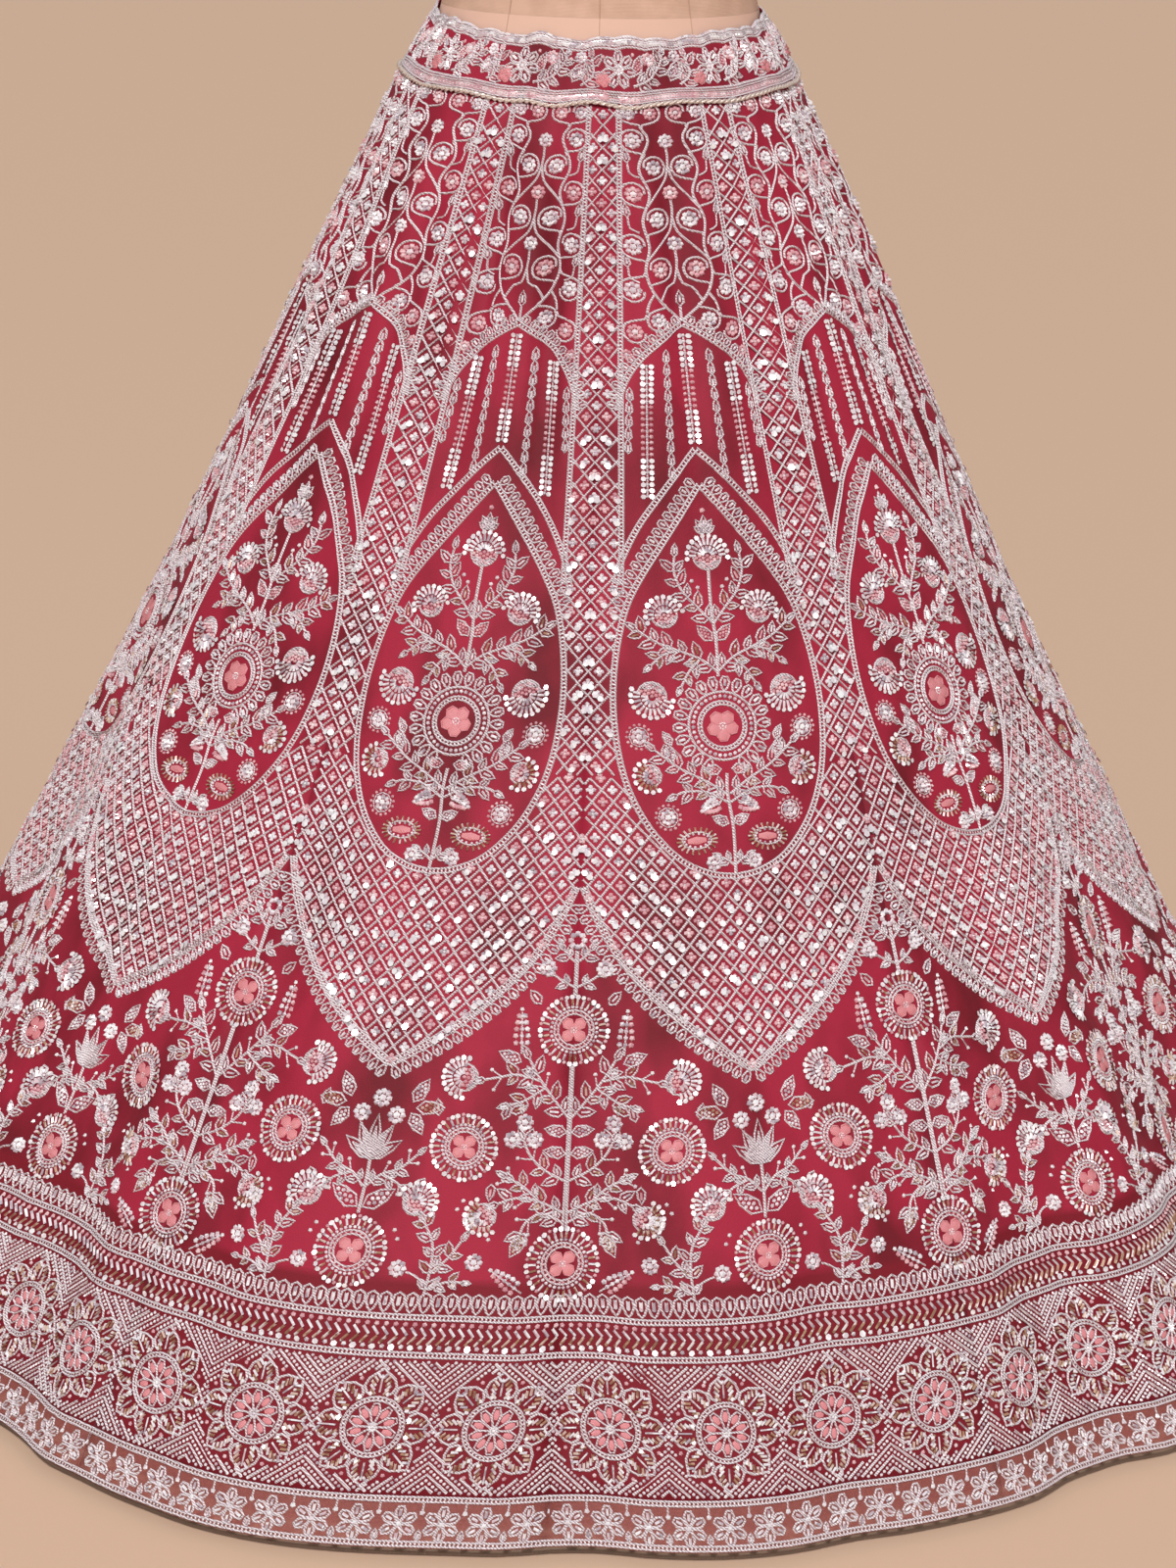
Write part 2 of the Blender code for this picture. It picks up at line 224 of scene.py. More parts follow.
def colour_by(material, shader, value, stops):
    """Colour the shader by a value through a ramp of (position, colour) stops."""
    ramp = add_node(material, "ShaderNodeValToRGB")
    points = ramp.color_ramp.elements
    while len(points) < len(stops):
        points.new(0.5)
    for point, (position, colour) in zip(points, stops):
        point.position = position
        point.color = (*colour, 1.0)
    link(material, value, ramp.inputs["Fac"])
    link(material, ramp.outputs["Color"], shader.inputs["Base Color"])
    return ramp


def bump_by(material, shader, height, strength, distance):
    bump = add_node(material, "ShaderNodeBump", Strength=strength, Distance=distance)
    link(material, height, bump.inputs["Height"])
    link(material, bump.outputs["Normal"], shader.inputs["Normal"])


# %% [markdown]
# The ground is crimson net over satin. Its colour is mottled darker by a noise that is drawn out upwards:
# painted shade of soft folds, as light lies on hanging satin. Its mesh is only bump, because the holes
# are under 1 mm. The bare net of the hem is half see-through. Thread is two tones in slanting turns, the
# darker one painted shade in the grooves of the twist, so a plain ridge reads as twisted cord. Beads,
# sequins and bugles take one of a few tones each from a cell pattern, because no two of the real ones
# catch the light alike.

# %% Materials of cloth, thread and beads
DARK_BORDER_DROPS = (0.852, 0.858)             # the ground turns dark between these drops
CRIMSON = (0.365, 0.0155, 0.043)
# The darker crimson is painted shade of soft hanging folds, laid in upright streaks
CRIMSON_FOLD_SHADE = (0.155, 0.0065, 0.015)
BORDER_WINE = (0.195, 0.0068, 0.0165)
DORI_SILVER = (0.890, 0.820, 0.850)
# The darker dori tone is painted shade in the grooves of the twist
DORI_GROOVE_SHADE = (0.400, 0.305, 0.320)


def make_net_ground():
    """Crimson net over satin: painted shade of soft folds in upright streaks, a darker border below, and a
    fine mesh bump.
    """
    material, shader = new_material("crimson_net_on_satin", CRIMSON, 0.68)
    shader.inputs["Specular IOR Level"].default_value = 0.25
    shader.inputs["Sheen Weight"].default_value = 0.05
    shader.inputs["Sheen Roughness"].default_value = 0.45
    shader.inputs["Sheen Tint"].default_value = (1.0, 0.30, 0.42, 1.0)
    # A noise drawn out upwards lays painted fold shade on the ground in upright streaks
    fold_shade = object_texture(material, "ShaderNodeTexNoise", 0.22, Scale=17.0, Detail=3.0)
    ramp = colour_by(material, shader, fold_shade.outputs["Fac"],
                     [(0.32, CRIMSON_FOLD_SHADE), (0.58, CRIMSON)])
    chart = add_node(material, "ShaderNodeUVMap", uv_map="UVMap")
    split = add_node(material, "ShaderNodeSeparateXYZ")
    border = add_node(material, "ShaderNodeMapRange")
    border.inputs["From Min"].default_value = 1.0 - DARK_BORDER_DROPS[0]
    border.inputs["From Max"].default_value = 1.0 - DARK_BORDER_DROPS[1]
    mix = add_node(material, "ShaderNodeMix", data_type="RGBA")
    mix.inputs[7].default_value = (*BORDER_WINE, 1.0)
    link(material, chart.outputs["UV"], split.inputs["Vector"])
    link(material, split.outputs["Y"], border.inputs["Value"])
    link(material, border.outputs["Result"], mix.inputs[0])
    link(material, ramp.outputs["Color"], mix.inputs[6])
    link(material, mix.outputs[2], shader.inputs["Base Color"])
    mesh = object_texture(material, "ShaderNodeTexVoronoi", Scale=900.0)
    bump_by(material, shader, mesh.outputs["Distance"], 0.25, 0.0006)
    return material


def make_sheer_net():
    """The bare net of the hem border: half see-through, with its mesh as bump."""
    material, shader = new_material("sheer_net", (0.62, 0.200, 0.165), 0.65)
    shader.inputs["Alpha"].default_value = 0.36
    mesh = object_texture(material, "ShaderNodeTexVoronoi", Scale=800.0)
    colour_by(material, shader, mesh.outputs["Distance"],
              [(0.1, (0.66, 0.220, 0.180)), (0.6, (0.46, 0.120, 0.105))])
    bump_by(material, shader, mesh.outputs["Distance"], 0.3, 0.0005)
    return material


def make_thread(name, light, dark, roughness, metallic, twist):
    """Twisted thread: two tones in fine slanting turns, the darker one painted shade in the twist's
    grooves.
    """
    material, shader = new_material(name, light, roughness, metallic)
    turns = object_texture(material, "ShaderNodeTexWave", Scale=twist, Distortion=6.0, Detail=2.0)
    turns.bands_direction = "DIAGONAL"
    # The darker tone is painted shade in the grooves of the twist, on a plain ridge
    colour_by(material, shader, turns.outputs["Fac"], [(0.15, dark), (0.75, light)])
    bump_by(material, shader, turns.outputs["Fac"], 0.35, 0.0005)
    return material


def make_beads(name, tones, roughness, metallic, scale):
    """Glass and foil: each bead takes one of a few tones from a cell pattern."""
    material, shader = new_material(name, tones[0], roughness, metallic)
    shader.inputs["Specular IOR Level"].default_value = 0.8
    cells = object_texture(material, "ShaderNodeTexVoronoi", Scale=scale)
    split = add_node(material, "ShaderNodeSeparateColor")
    link(material, cells.outputs["Color"], split.inputs["Color"])
    stops = [(number / len(tones), tone) for number, tone in enumerate(tones)]
    ramp = colour_by(material, shader, split.outputs["Red"], stops)
    ramp.color_ramp.interpolation = "CONSTANT"
    return material


finishes = {
    "dori": make_thread("silver_dori_painted_groove_shade", DORI_SILVER, DORI_GROOVE_SHADE, 0.42, 0.0, 230.0),
    "bead": make_beads("glass_beads", [(0.84, 0.80, 0.83), (0.72, 0.56, 0.60), (0.96, 0.94, 0.96),
                                       (0.50, 0.42, 0.47), (0.82, 0.75, 0.79)], 0.20, 0.08, 260.0),
    "sequin": make_beads("foil_sequins", [(0.94, 0.91, 0.93), (0.78, 0.71, 0.75), (1.00, 0.99, 1.00),
                                          (0.88, 0.80, 0.83)], 0.24, 0.18, 260.0),
    "rose": make_beads("rose_glass_beads", [(0.80, 0.47, 0.50), (0.70, 0.36, 0.40), (0.86, 0.62, 0.64),
                                            (0.62, 0.30, 0.34)], 0.15, 0.05, 260.0),
    "silk": make_thread("pink_silk", (0.80, 0.330, 0.350), (0.62, 0.180, 0.205), 0.50, 0.0, 420.0),
    "bugle": make_beads("gold_bugles", [(0.46, 0.26, 0.165), (0.70, 0.52, 0.43), (0.31, 0.155, 0.095),
                                        (0.85, 0.76, 0.74)], 0.28, 0.15, 300.0),
}
SMOOTH_FINISHES = ("silk",)                    # cord, glass and foil keep their facets
net_ground = make_net_ground()
sheer_net = make_sheer_net()
print("finishes:", sorted(finishes))

# %% [markdown]
# Each gore is a thin sheet: a grid primitive, bent by the functions above and given a wall with
# Solidify. Cloth simulation would only blur the flare here, because the skirt hangs stiff with
# its beadwork, so its folds and creases are listed in tables.

# %% Cloth helpers
CLOTH_WALL, NET_WALL = 0.0008, 0.0004
KALI_COLUMNS, KALI_ROWS, NET_ROWS = 20, 72, 4


def deselect_all():
    """Operators act on all that is selected, and the loaded solids are."""
    bpy.ops.object.select_all(action="DESELECT")


def pick(piece):
    """Select one piece alone and make it active, as the operators need it."""
    deselect_all()
    piece.select_set(True)
    bpy.context.view_layer.objects.active = piece


def apply_modifiers(piece):
    pick(piece)
    for modifier in list(piece.modifiers):
        bpy.ops.object.modifier_apply(modifier=modifier.name)


def add_object(name, data):
    thing = bpy.data.objects.new(name, data)
    bpy.context.scene.collection.objects.link(thing)
    return thing


def dress(piece, node=""):
    """Hang a piece on the root body, and hide the solid it stands for."""
    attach(piece, "root")
    if node:
        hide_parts(node)


def add_wall(piece, thickness):
    """Give an open sheet its thickness, inwards."""
    wall = piece.modifiers.new("wall", "SOLIDIFY")
    wall.thickness = thickness
    wall.offset = -1.0
    apply_modifiers(piece)


def add_sheet(name, columns, rows, place, material):
    """A grid primitive whose points are laid by place(across, down), both 0 to 1."""
    deselect_all()
    bpy.ops.mesh.primitive_grid_add(x_subdivisions=columns, y_subdivisions=rows, size=1.0)
    piece = bpy.context.object
    piece.name = piece.data.name = name
    flat = np.zeros(len(piece.data.vertices) * 3)
    piece.data.vertices.foreach_get("co", flat)
    flat = flat.reshape(-1, 3)
    points = place(flat[:, 0] + 0.5, 0.5 - flat[:, 1])
    piece.data.vertices.foreach_set("co", points.ravel())
    piece.data.update()
    piece.data.materials.append(material)
    piece.data.shade_smooth()
    return piece


def triangles(piece):
    """How many triangles the faces of a piece make."""
    return sum(len(face.vertices) - 2 for face in piece.data.polygons)


def cut_sizes(place):
    """Width at its widest, mean length and area of a sheet laid flat, in metres."""
    across, down = np.meshgrid(np.linspace(0.0, 1.0, 61), np.linspace(0.0, 1.0, 61))
    points = place(across, down)
    widths = np.linalg.norm(np.diff(points, axis=1), axis=-1).sum(axis=1)
    length = np.linalg.norm(np.diff(points, axis=0), axis=-1).sum(axis=0).mean()
    return float(widths.max()), float(length), float(widths.mean() * length)


def cut_and_hang(sheet, place):
    """State a sheet's cut size, measured along the cloth."""
    width, length, area = cut_sizes(place)
    print(f"{sheet.name} is cut {width:.3f} by {length:.3f} m, {area:.3f} square metres")


def gore_part(kali, first, last):
    """The part of a gore between two drops, for add_sheet."""
    def place(across, down):
        drop = first + (last - first) * down
        return skirt_place(kali_angle(kali, 2.0 * across - 1.0, drop), drop)
    return place


# %% The twelve gores and their net borders
for kali in range(KALIS):
    number = f"{kali + 1:02d}"
    gore = gore_part(kali, 0.0, NET_DROP)
    cloth = add_sheet("kali_cloth_" + number, KALI_COLUMNS, KALI_ROWS, gore, net_ground)
    add_wall(cloth, CLOTH_WALL)
    dress(cloth, "kali_" + number)
    cut_and_hang(cloth, gore)
    border = gore_part(kali, NET_DROP, 1.0)
    net = add_sheet("hem_net_cloth_" + number, KALI_COLUMNS, NET_ROWS, border, sheer_net)
    add_wall(net, NET_WALL)
    dress(net, "hem_net_" + number)
    cut_and_hang(net, border)
print("a gore has", triangles(cloth), "triangles, a net border", triangles(net))

# %% [markdown]
# The waistband leans in from the skirt's waist to the form. It is gathered on a drawcord, so it
# crumples: its swellings and the waves of its trims are two tables of uneven places. Its work is
# stitched flat too, in millimetres down from its top edge, and wrapped right round.

# %% Sizes of the waistband and the form
BAND_WALL, BAND_EASE, BAND_SAG = 0.0022, 0.0005, 0.0012
RUCHES, RUCHE_DEPTH, RUCHE_LEAN = 12, 0.0016, 2.2
CREASE_GAIN, CREASE_LEAN, DEEPEST_CRUMPLE = 1.3, 5.0, -0.0012
LACE_HEIGHT, LACE_STANDS_UP, SCALLOPS = 0.009, 0.0015, 36
LACE_WAVE_SHIFT = 17.0                         # the lace waves apart from the braid, by this angle
BRAID_TOP, BRAID_WIDTH = 34.6, 8.6             # in millimetres, as the work on the band is
TAPE_LIFT, TAPE_WALL = 0.7, 0.0005
PIPING_RADIUS = 0.0018
BAND_REPEATS, BAND_REPEAT = 12, 70.0           # the work's repeats round the band, in millimetres

FORM = np.array([
    # height, half_width, half_depth, forward
    (0.800, 0.150, 0.118, 0.000), (0.835, 0.153, 0.119, 0.000), (0.870, 0.151, 0.117, 0.000),
    (0.900, 0.1455, 0.1125, 0.000), (0.930, 0.1350, 0.1035, 0.000), (0.960, 0.1222, 0.0942, 0.000),
    (0.990, 0.1145, 0.0888, 0.000), (1.015, 0.1128, 0.0880, 0.001), (1.055, 0.1170, 0.0930, 0.002),
    (1.105, 0.1275, 0.1020, 0.005), (1.155, 0.1390, 0.1130, 0.010), (1.200, 0.1465, 0.1215, 0.014),
    (1.240, 0.1490, 0.1190, 0.012), (1.285, 0.1530, 0.1050, 0.005), (1.325, 0.1580, 0.0900, -0.001),
    (1.355, 0.1560, 0.0790, -0.004), (1.378, 0.1380, 0.0700, -0.005), (1.396, 0.1060, 0.0630, -0.005),
    (1.412, 0.0760, 0.0575, -0.004), (1.432, 0.0600, 0.0545, -0.003), (1.480, 0.0550, 0.0530, 0.000),
])

# Crumples of the band's cloth between its trims
BAND_CREASES = [
    # angle, half_width, depth
    (-172, 5, 0.0016), (-160, 3, -0.0012), (-149, 6, 0.0018), (-133, 4, -0.0012), (-121, 5, 0.0016),
    (-108, 4, 0.0014), (-97, 3, -0.0012), (-84, 6, 0.0018), (-70, 4, 0.0014), (-57, 3, -0.0012),
    (-46, 5, 0.0018), (-33, 4, 0.0014), (-22, 3, -0.0012), (-13, 4, 0.0022), (-5, 2.5, -0.0016),
    (2, 4, 0.0022), (12, 4, 0.0014), (21, 3, -0.0014), (29, 5, 0.0018), (43, 4, 0.0016),
    (55, 3, -0.0012), (64, 5, 0.0020), (78, 4, 0.0014), (91, 6, 0.0018), (104, 3, -0.0012),
    (115, 5, 0.0016), (128, 4, 0.0014), (140, 6, 0.0018), (156, 4, -0.0012), (168, 5, 0.0016),
]

# Waves of the band's trims, up for more than 0
TRIM_WAVES = [
    # angle, half_width, rise
    (-176, 10, -0.0016), (-158, 9, 0.0014), (-139, 11, -0.0018), (-118, 9, 0.0012), (-99, 11, -0.0014),
    (-79, 9, 0.0014), (-60, 10, -0.0016), (-41, 9, 0.0012), (-27, 8, -0.0012), (-13, 7, -0.0022),
    (-2, 7, 0.0020), (9, 8, -0.0022), (24, 9, 0.0014), (41, 10, -0.0014), (60, 9, 0.0012),
    (81, 11, -0.0016), (101, 9, 0.0014), (121, 10, -0.0014), (142, 10, 0.0014), (162, 9, -0.0016),
]


# %% The shape of the waistband
def form_half_sizes(height):
    """Half width, half depth and forward shift of the form at heights."""
    return [np.interp(height, FORM[:, 0], FORM[:, column]) for column in (1, 2, 3)]


def level_away(place):
    """Level unit vectors from the upright axis to places."""
    away = place * [1.0, 1.0, 0.0]
    return away / np.linalg.norm(away, axis=-1, keepdims=True)


def band_place(angle, rise, out=0.0):
    """Points of the waistband's inner face, moved outwards; rise is 0 at its foot, 1 on top."""
    foot = skirt_place(angle, 0.0 * angle, -BAND_WALL)
    top_height = foot[..., 2] + BAND_HEIGHT
    half_width, half_depth, forward = form_half_sizes(top_height)
    top = ellipse_place(angle, half_width, half_depth, top_height, BAND_EASE, forward)
    place = foot + (top - foot) * np.asarray(rise)[..., None]
    return place + np.asarray(out)[..., None] * level_away(place)


def band_swell(angle, rise):
    """How far the crumpled band swells outwards; nothing at its foot and its top edge."""
    swell = RUCHE_DEPTH * (0.5 + 0.5 * np.sin(np.radians(RUCHES * angle) + RUCHE_LEAN * rise))
    for middle, half_width, depth in BAND_CREASES:
        bump = bump_across(angle, middle + CREASE_LEAN * rise, half_width)
        swell = swell + CREASE_GAIN * depth * bump
    return np.maximum(swell, DEEPEST_CRUMPLE) * np.sin(pi * np.clip(rise, 0.0, 1.0))


def trim_wave(angle):
    """How far the trims wave up or down at angles."""
    wave = 0.0 * angle
    for middle, half_width, height in TRIM_WAVES:
        wave = wave + height * bump_across(angle, middle, half_width)
    return wave


def band_work_place(across, down, lift):
    """Where work in millimetres lies on the band, waving with the trims at top and foot."""
    angle = across / (BAND_REPEATS * BAND_REPEAT) * 360.0
    rise = 1.0 - down / (1000.0 * BAND_HEIGHT)
    place = band_place(angle, rise, BAND_WALL + band_swell(angle, rise) + lift / 1000.0)
    top_wave = np.maximum(2.0 * rise - 1.0, 0.0) * trim_wave(angle + LACE_WAVE_SHIFT)
    foot_wave = np.maximum(1.0 - 2.0 * rise, 0.0) * trim_wave(angle)
    place[..., 2] += top_wave + foot_wave - BAND_SAG * (1.0 - rise)
    return place


# %% [markdown]
# The band's cloth is cut in two halves. The lace along its top is scalloped and the braid along its
# foot is straight, and both are woven tapes, so each is one narrow sheet under its own stitches.

# %% Cloth of the waistband and its trims
def band_part(first, last):
    """The band between two angles, for add_sheet."""
    def place(across, down):
        angle = first + (last - first) * across
        along = angle * BAND_REPEATS * BAND_REPEAT / 360.0
        return band_work_place(along, 1000.0 * BAND_HEIGHT * down, 0.0 * down)
    return place


for name, first, last in (("waistband_front", -90.0, 90.0), ("waistband_back", 90.0, 270.0)):
    half_band = band_part(first, last)
    cloth = add_sheet(name + "_cloth", 120, 8, half_band, net_ground)
    add_wall(cloth, CLOTH_WALL)
    dress(cloth, name)
    cut_and_hang(cloth, half_band)


def scallop(across):
    """How far the lace's scallops stand over the band's edge, in millimetres."""
    turn = across / (BAND_REPEATS * BAND_REPEAT) * pi * SCALLOPS
    return 1000.0 * LACE_STANDS_UP * np.abs(np.cos(turn))


def lace(across, down):
    along = (across - 0.5) * BAND_REPEATS * BAND_REPEAT
    drop = -scallop(along) * (1.0 - down) + 1000.0 * LACE_HEIGHT * 0.5 * down
    return band_work_place(along, drop, TAPE_LIFT + 0.0 * along)


def braid(across, down):
    along = (across - 0.5) * BAND_REPEATS * BAND_REPEAT
    return band_work_place(along, BRAID_TOP + BRAID_WIDTH * down, TAPE_LIFT + 0.0 * along)


for name, place, finish in (("waist_lace", lace, "bead"), ("waist_braid", braid, "rose")):
    trim = add_sheet(name + "_tape", 360, 1, place, finishes[finish])
    add_wall(trim, TAPE_WALL)
    dress(trim, name)
    print(trim.name, "has", triangles(trim), "triangles")

# %% [markdown]
# The stitches. A Panel gathers small shapes, sorted by finish, as points (across, down, height)
# in millimetres on flat cloth, with their triangles. Cord is a low ridge along a path. Beads,
# sequins, bugles and leaves are modelled once as primitives and stamped many times from arrays.

# %% Model the bead shapes once
def primitive_arrays(name, add, **settings):
    """Points and triangles of a primitive, which is then removed."""
    deselect_all()
    add(**settings)
    shape = bpy.context.object
    shape.data.calc_loop_triangles()
    points = np.array([vert.co[:] for vert in shape.data.vertices])
    corners = np.array([triangle.vertices[:] for triangle in shape.data.loop_triangles])
    bpy.data.meshes.remove(shape.data)
    print(name, "has", len(corners), "triangles")
    return points, corners


SHAPES = {
    "bead": primitive_arrays("bead", bpy.ops.mesh.primitive_cone_add, vertices=5, radius1=1.0,
                             depth=1.0, end_fill_type="NOTHING"),
    "sequin": primitive_arrays("sequin", bpy.ops.mesh.primitive_circle_add, vertices=6, radius=1.0,
                               fill_type="NGON"),
    "bugle": primitive_arrays("bugle", bpy.ops.mesh.primitive_cylinder_add, vertices=4, radius=1.0,
                              depth=2.0, end_fill_type="NOTHING"),
    "rung": primitive_arrays("rung", bpy.ops.mesh.primitive_plane_add, size=2.0),
    "leaf": primitive_arrays("leaf", bpy.ops.mesh.primitive_cone_add, vertices=6, radius1=1.0,
                             depth=1.0, end_fill_type="NOTHING"),
}
# A bugle lies along the cloth, so only its two upper faces are kept
bugle_points, bugle_corners = SHAPES["bugle"]
bugle_points = bugle_points[:, [2, 1, 0]]
upper = bugle_points[bugle_corners, 2].mean(axis=1) > 0.0
SHAPES["bugle"] = (bugle_points, bugle_corners[upper][:, ::-1])


# %% Panels and stitches
class Panel:
    """Shapes on flat cloth, by finish: across, down and height in millimetres."""

    def __init__(self):
        self.points = {finish: [] for finish in finishes}
        self.corners = {finish: [] for finish in finishes}
        self.totals = dict.fromkeys(finishes, 0)

    def add(self, finish, points, corners):
        self.points[finish].append(points)
        self.corners[finish].append(corners + self.totals[finish])
        self.totals[finish] += len(points)

# %% Smooth paths on flat cloth
def smooth_path(controls, step):
    """A smooth curve through given points, cut to pieces of about step millimetres."""
    controls = np.asarray(controls, float)
    if len(controls) == 2:
        count = max(2, ceil(np.hypot(*(controls[1] - controls[0])) / step) + 1)
        return controls[0] + (controls[1] - controls[0]) * np.linspace(0.0, 1.0, count)[:, None]
    padded = np.vstack([2 * controls[0] - controls[1], controls, 2 * controls[-1] - controls[-2]])
    path = [controls[:1]]
    for before, start, end, after in zip(padded, padded[1:], padded[2:], padded[3:]):
        count = max(1, ceil(np.hypot(*(end - start)) / step))
        share = np.linspace(0.0, 1.0, count + 1)[1:, None]
        path.append(0.5 * (2 * start + (end - before) * share
                           + (2 * before - 5 * start + 4 * end - after) * share ** 2
                           + (3 * start - before - 3 * end + after) * share ** 3))
    return np.vstack(path)


def sides_of(path, closed=False):
    """Unit vectors to the left of a path, seen with down pointing down."""
    if closed:
        along = np.roll(path, -1, axis=0) - np.roll(path, 1, axis=0)
    else:
        along = np.gradient(path, axis=0)
    along = along / np.maximum(np.hypot(along[:, 0], along[:, 1]), 1e-9)[:, None]
    return np.stack([along[:, 1], -along[:, 0]], axis=1)


def distances(path):
    """How far along a path each of its points lies."""
    return np.concatenate([[0.0], np.cumsum(np.hypot(*np.diff(path, axis=0).T))])


def at_distance(run, values, distance):
    """Values at a distance along a path, read between its points."""
    return np.stack([np.interp(distance, run, values[:, axis]) for axis in (0, 1)], axis=-1)


def along_turn(place, turn, along, across):
    """Places given along and across a direction from a place."""
    c, s = cos(radians(turn)), sin(radians(turn))
    along, across = np.asarray(along, float), np.asarray(across, float)
    return np.stack([place[0] + along * c - across * s, place[1] + along * s + across * c], axis=-1)

# %% [markdown]
# Cord is couched down, so it lies half sunk: a ridge of two faces along its path shows all of it.
# Beads, sequins and bugles are stamped from the shapes modelled above, and each is turned or tipped
# a little by chance, because the light must catch every one of them in another way.

# %% Laid cord, beads, sequins and bugles
def cord(panel, path, width=1.9, height=1.1, finish="dori", closed=False):
    """Laid cord: a ridge along a path, flat underneath."""
    path = np.asarray(path, float)
    side = sides_of(path, closed) * width / 2.0
    count = len(path)
    points = np.zeros((count, 3, 3))
    points[:, 0, :2], points[:, 1, :2], points[:, 2, :2] = path + side, path, path - side
    points[:, 1, 2] = height
    start = np.arange(count if closed else count - 1)[:, None] * 3
    after = (start + 3) % (3 * count)
    quads = np.concatenate([np.hstack([start + low, start + low + 1, after + low + 1, after + low])
                            for low in (0, 1)])
    corners = np.concatenate([quads[:, [0, 1, 2]], quads[:, [0, 2, 3]]])
    panel.add(finish, points.reshape(-1, 3), corners)


def stamp(panel, shape, finish, places, size, turns=0.0, lift=0.0, tilt=None):
    """Copies of a modelled shape at places; size is (along, across, high) in millimetres."""
    points, corners = SHAPES[shape]
    places = np.atleast_2d(np.asarray(places, float))
    count = len(places)
    turns = np.broadcast_to(np.radians(turns), (count,))[:, None]
    size = np.broadcast_to(np.asarray(size, float), (count, 3))
    local = points[None] * size[:, None]
    spread = np.empty_like(local)
    spread[..., 0] = places[:, :1] + local[..., 0] * np.cos(turns) - local[..., 1] * np.sin(turns)
    spread[..., 1] = places[:, 1:2] + local[..., 0] * np.sin(turns) + local[..., 1] * np.cos(turns)
    spread[..., 2] = lift + local[..., 2]
    if tilt is not None:
        spread[..., 2] += (tilt[:, :1] * local[..., 0] + tilt[:, 1:] * local[..., 1])
    shifts = np.arange(count)[:, None, None] * len(points)
    panel.add(finish, spread.reshape(-1, 3), (corners[None, :, ::-1] + shifts).reshape(-1, 3))


chance = np.random.default_rng(11)


def beads(panel, places, radius, finish="bead"):
    """Round glass beads, as five-sided cones with their points up."""
    places = np.atleast_2d(np.asarray(places, float))
    turns = chance.uniform(0.0, 72.0, len(places))
    stamp(panel, "bead", finish, places, (radius, radius, radius * 1.3), turns, radius * 0.65)


def sequins(panel, places, radius, lift=1.1):
    """Foil discs, each tipped a little."""
    places = np.atleast_2d(np.asarray(places, float))
    tilt = chance.uniform(-0.34, 0.34, (len(places), 2))
    turns = chance.uniform(0.0, 60.0, len(places))
    stamp(panel, "sequin", "sequin", places, (radius, radius, 1.0), turns, lift, tilt)


def bugles(panel, places, turns, length, width, finish):
    """Tube beads that lie along their turns."""
    stamp(panel, "bugle", finish, places, (length / 2.0, width / 2.0, width * 0.75), turns, 0.25)

# %% [markdown]
# Looped petals, ladder braid and leaves are the units of the work. Each is a cord along a small
# closed outline, filled with a bugle, silk or beads, and placed by a point and a turn.

# %% Rings and looped petals
def ring_places(centre, radius, count, start=0.0, end=360.0):
    """Places round a circle or an arc, and the outward turn of each."""
    whole = abs(end - start) > 359.0
    turns = np.linspace(start, end, count, endpoint=not whole)
    places = np.asarray(centre) + radius * np.stack([np.cos(np.radians(turns)),
                                                     np.sin(np.radians(turns))], axis=1)
    return places, turns


def arc_path(centre, radius, start=0.0, end=360.0, step=4.0):
    """A path round a circle or an arc, for cord."""
    count = max(5, ceil(radians(abs(end - start)) * radius / step))
    return ring_places(centre, radius, count, start, end)[0]


def petal_path(place, turn, length, width, points=7):
    """A drop-shaped outline: its point at place, its round end out along turn."""
    share = np.linspace(0.0, 2.0 * pi, points, endpoint=False)
    along = length * (1.0 - np.cos(share)) / 2.0
    across = width / 2.0 * np.sin(share) * np.sin(share / 2.0) ** 0.6 * 1.12
    return along_turn(place, turn, along, across)


def petal(panel, place, turn, length, width, cord_width=1.5, fill="bead", points=7):
    """One looped petal of cord with a bugle or a round of silk inside."""
    cord(panel, petal_path(place, turn, length, width, points), cord_width, 1.0, closed=True)
    middle = along_turn(place, turn, 0.60 * length, 0.0)
    if fill == "silk":
        stamp(panel, "leaf", "silk", [middle], (length * 0.27, width * 0.33, 1.7), turn, 0.85)
    else:
        bugles(panel, [middle], turn, length * 0.46, max(1.5, width * 0.30), fill)


def petals_along(panel, path, spacing, length, width):
    """A row of looped petals standing on a path, to its left."""
    run, normals = distances(path), sides_of(path)
    count = max(1, round(run[-1] / spacing))
    for distance in (np.arange(count) + 0.5) * run[-1] / count:
        out = at_distance(run, normals, distance)
        petal(panel, at_distance(run, path, distance), degrees(atan2(out[1], out[0])), length, width)

# %% Ladder braid
RAIL_WIDTH, RUNG_SPACING, RUNG_HALF_WIDTH = 1.5, 2.8, 0.62


def ladder(panel, path, width=4.4, closed=False):
    """Ladder braid: two rails of cord and the rungs between them."""
    path = np.asarray(path, float)
    side = sides_of(path, closed)
    rail = (width - RAIL_WIDTH) / 2.0
    cord(panel, path + side * rail, RAIL_WIDTH, 1.1, closed=closed)
    cord(panel, path - side * rail, RAIL_WIDTH, 1.1, closed=closed)
    if closed:
        path, side = np.vstack([path, path[:1]]), np.vstack([side, side[:1]])
    run = distances(path)
    count = max(2, int(run[-1] / RUNG_SPACING))
    middles = (np.arange(count) + 0.5) * run[-1] / count
    across = at_distance(run, side, middles)
    turns = np.degrees(np.arctan2(across[:, 1], across[:, 0]))
    stamp(panel, "rung", "dori", at_distance(run, path, middles), (rail, RUNG_HALF_WIDTH, 1.0), turns, 0.5)

# %% Leaves and branches
# The half outline of a leaf, as shares of its length and width
LEAF_OUTLINE = [
    # along, across
    (0.0, 0.0), (0.26, 0.46), (0.66, 0.38), (1.0, 0.0),
]


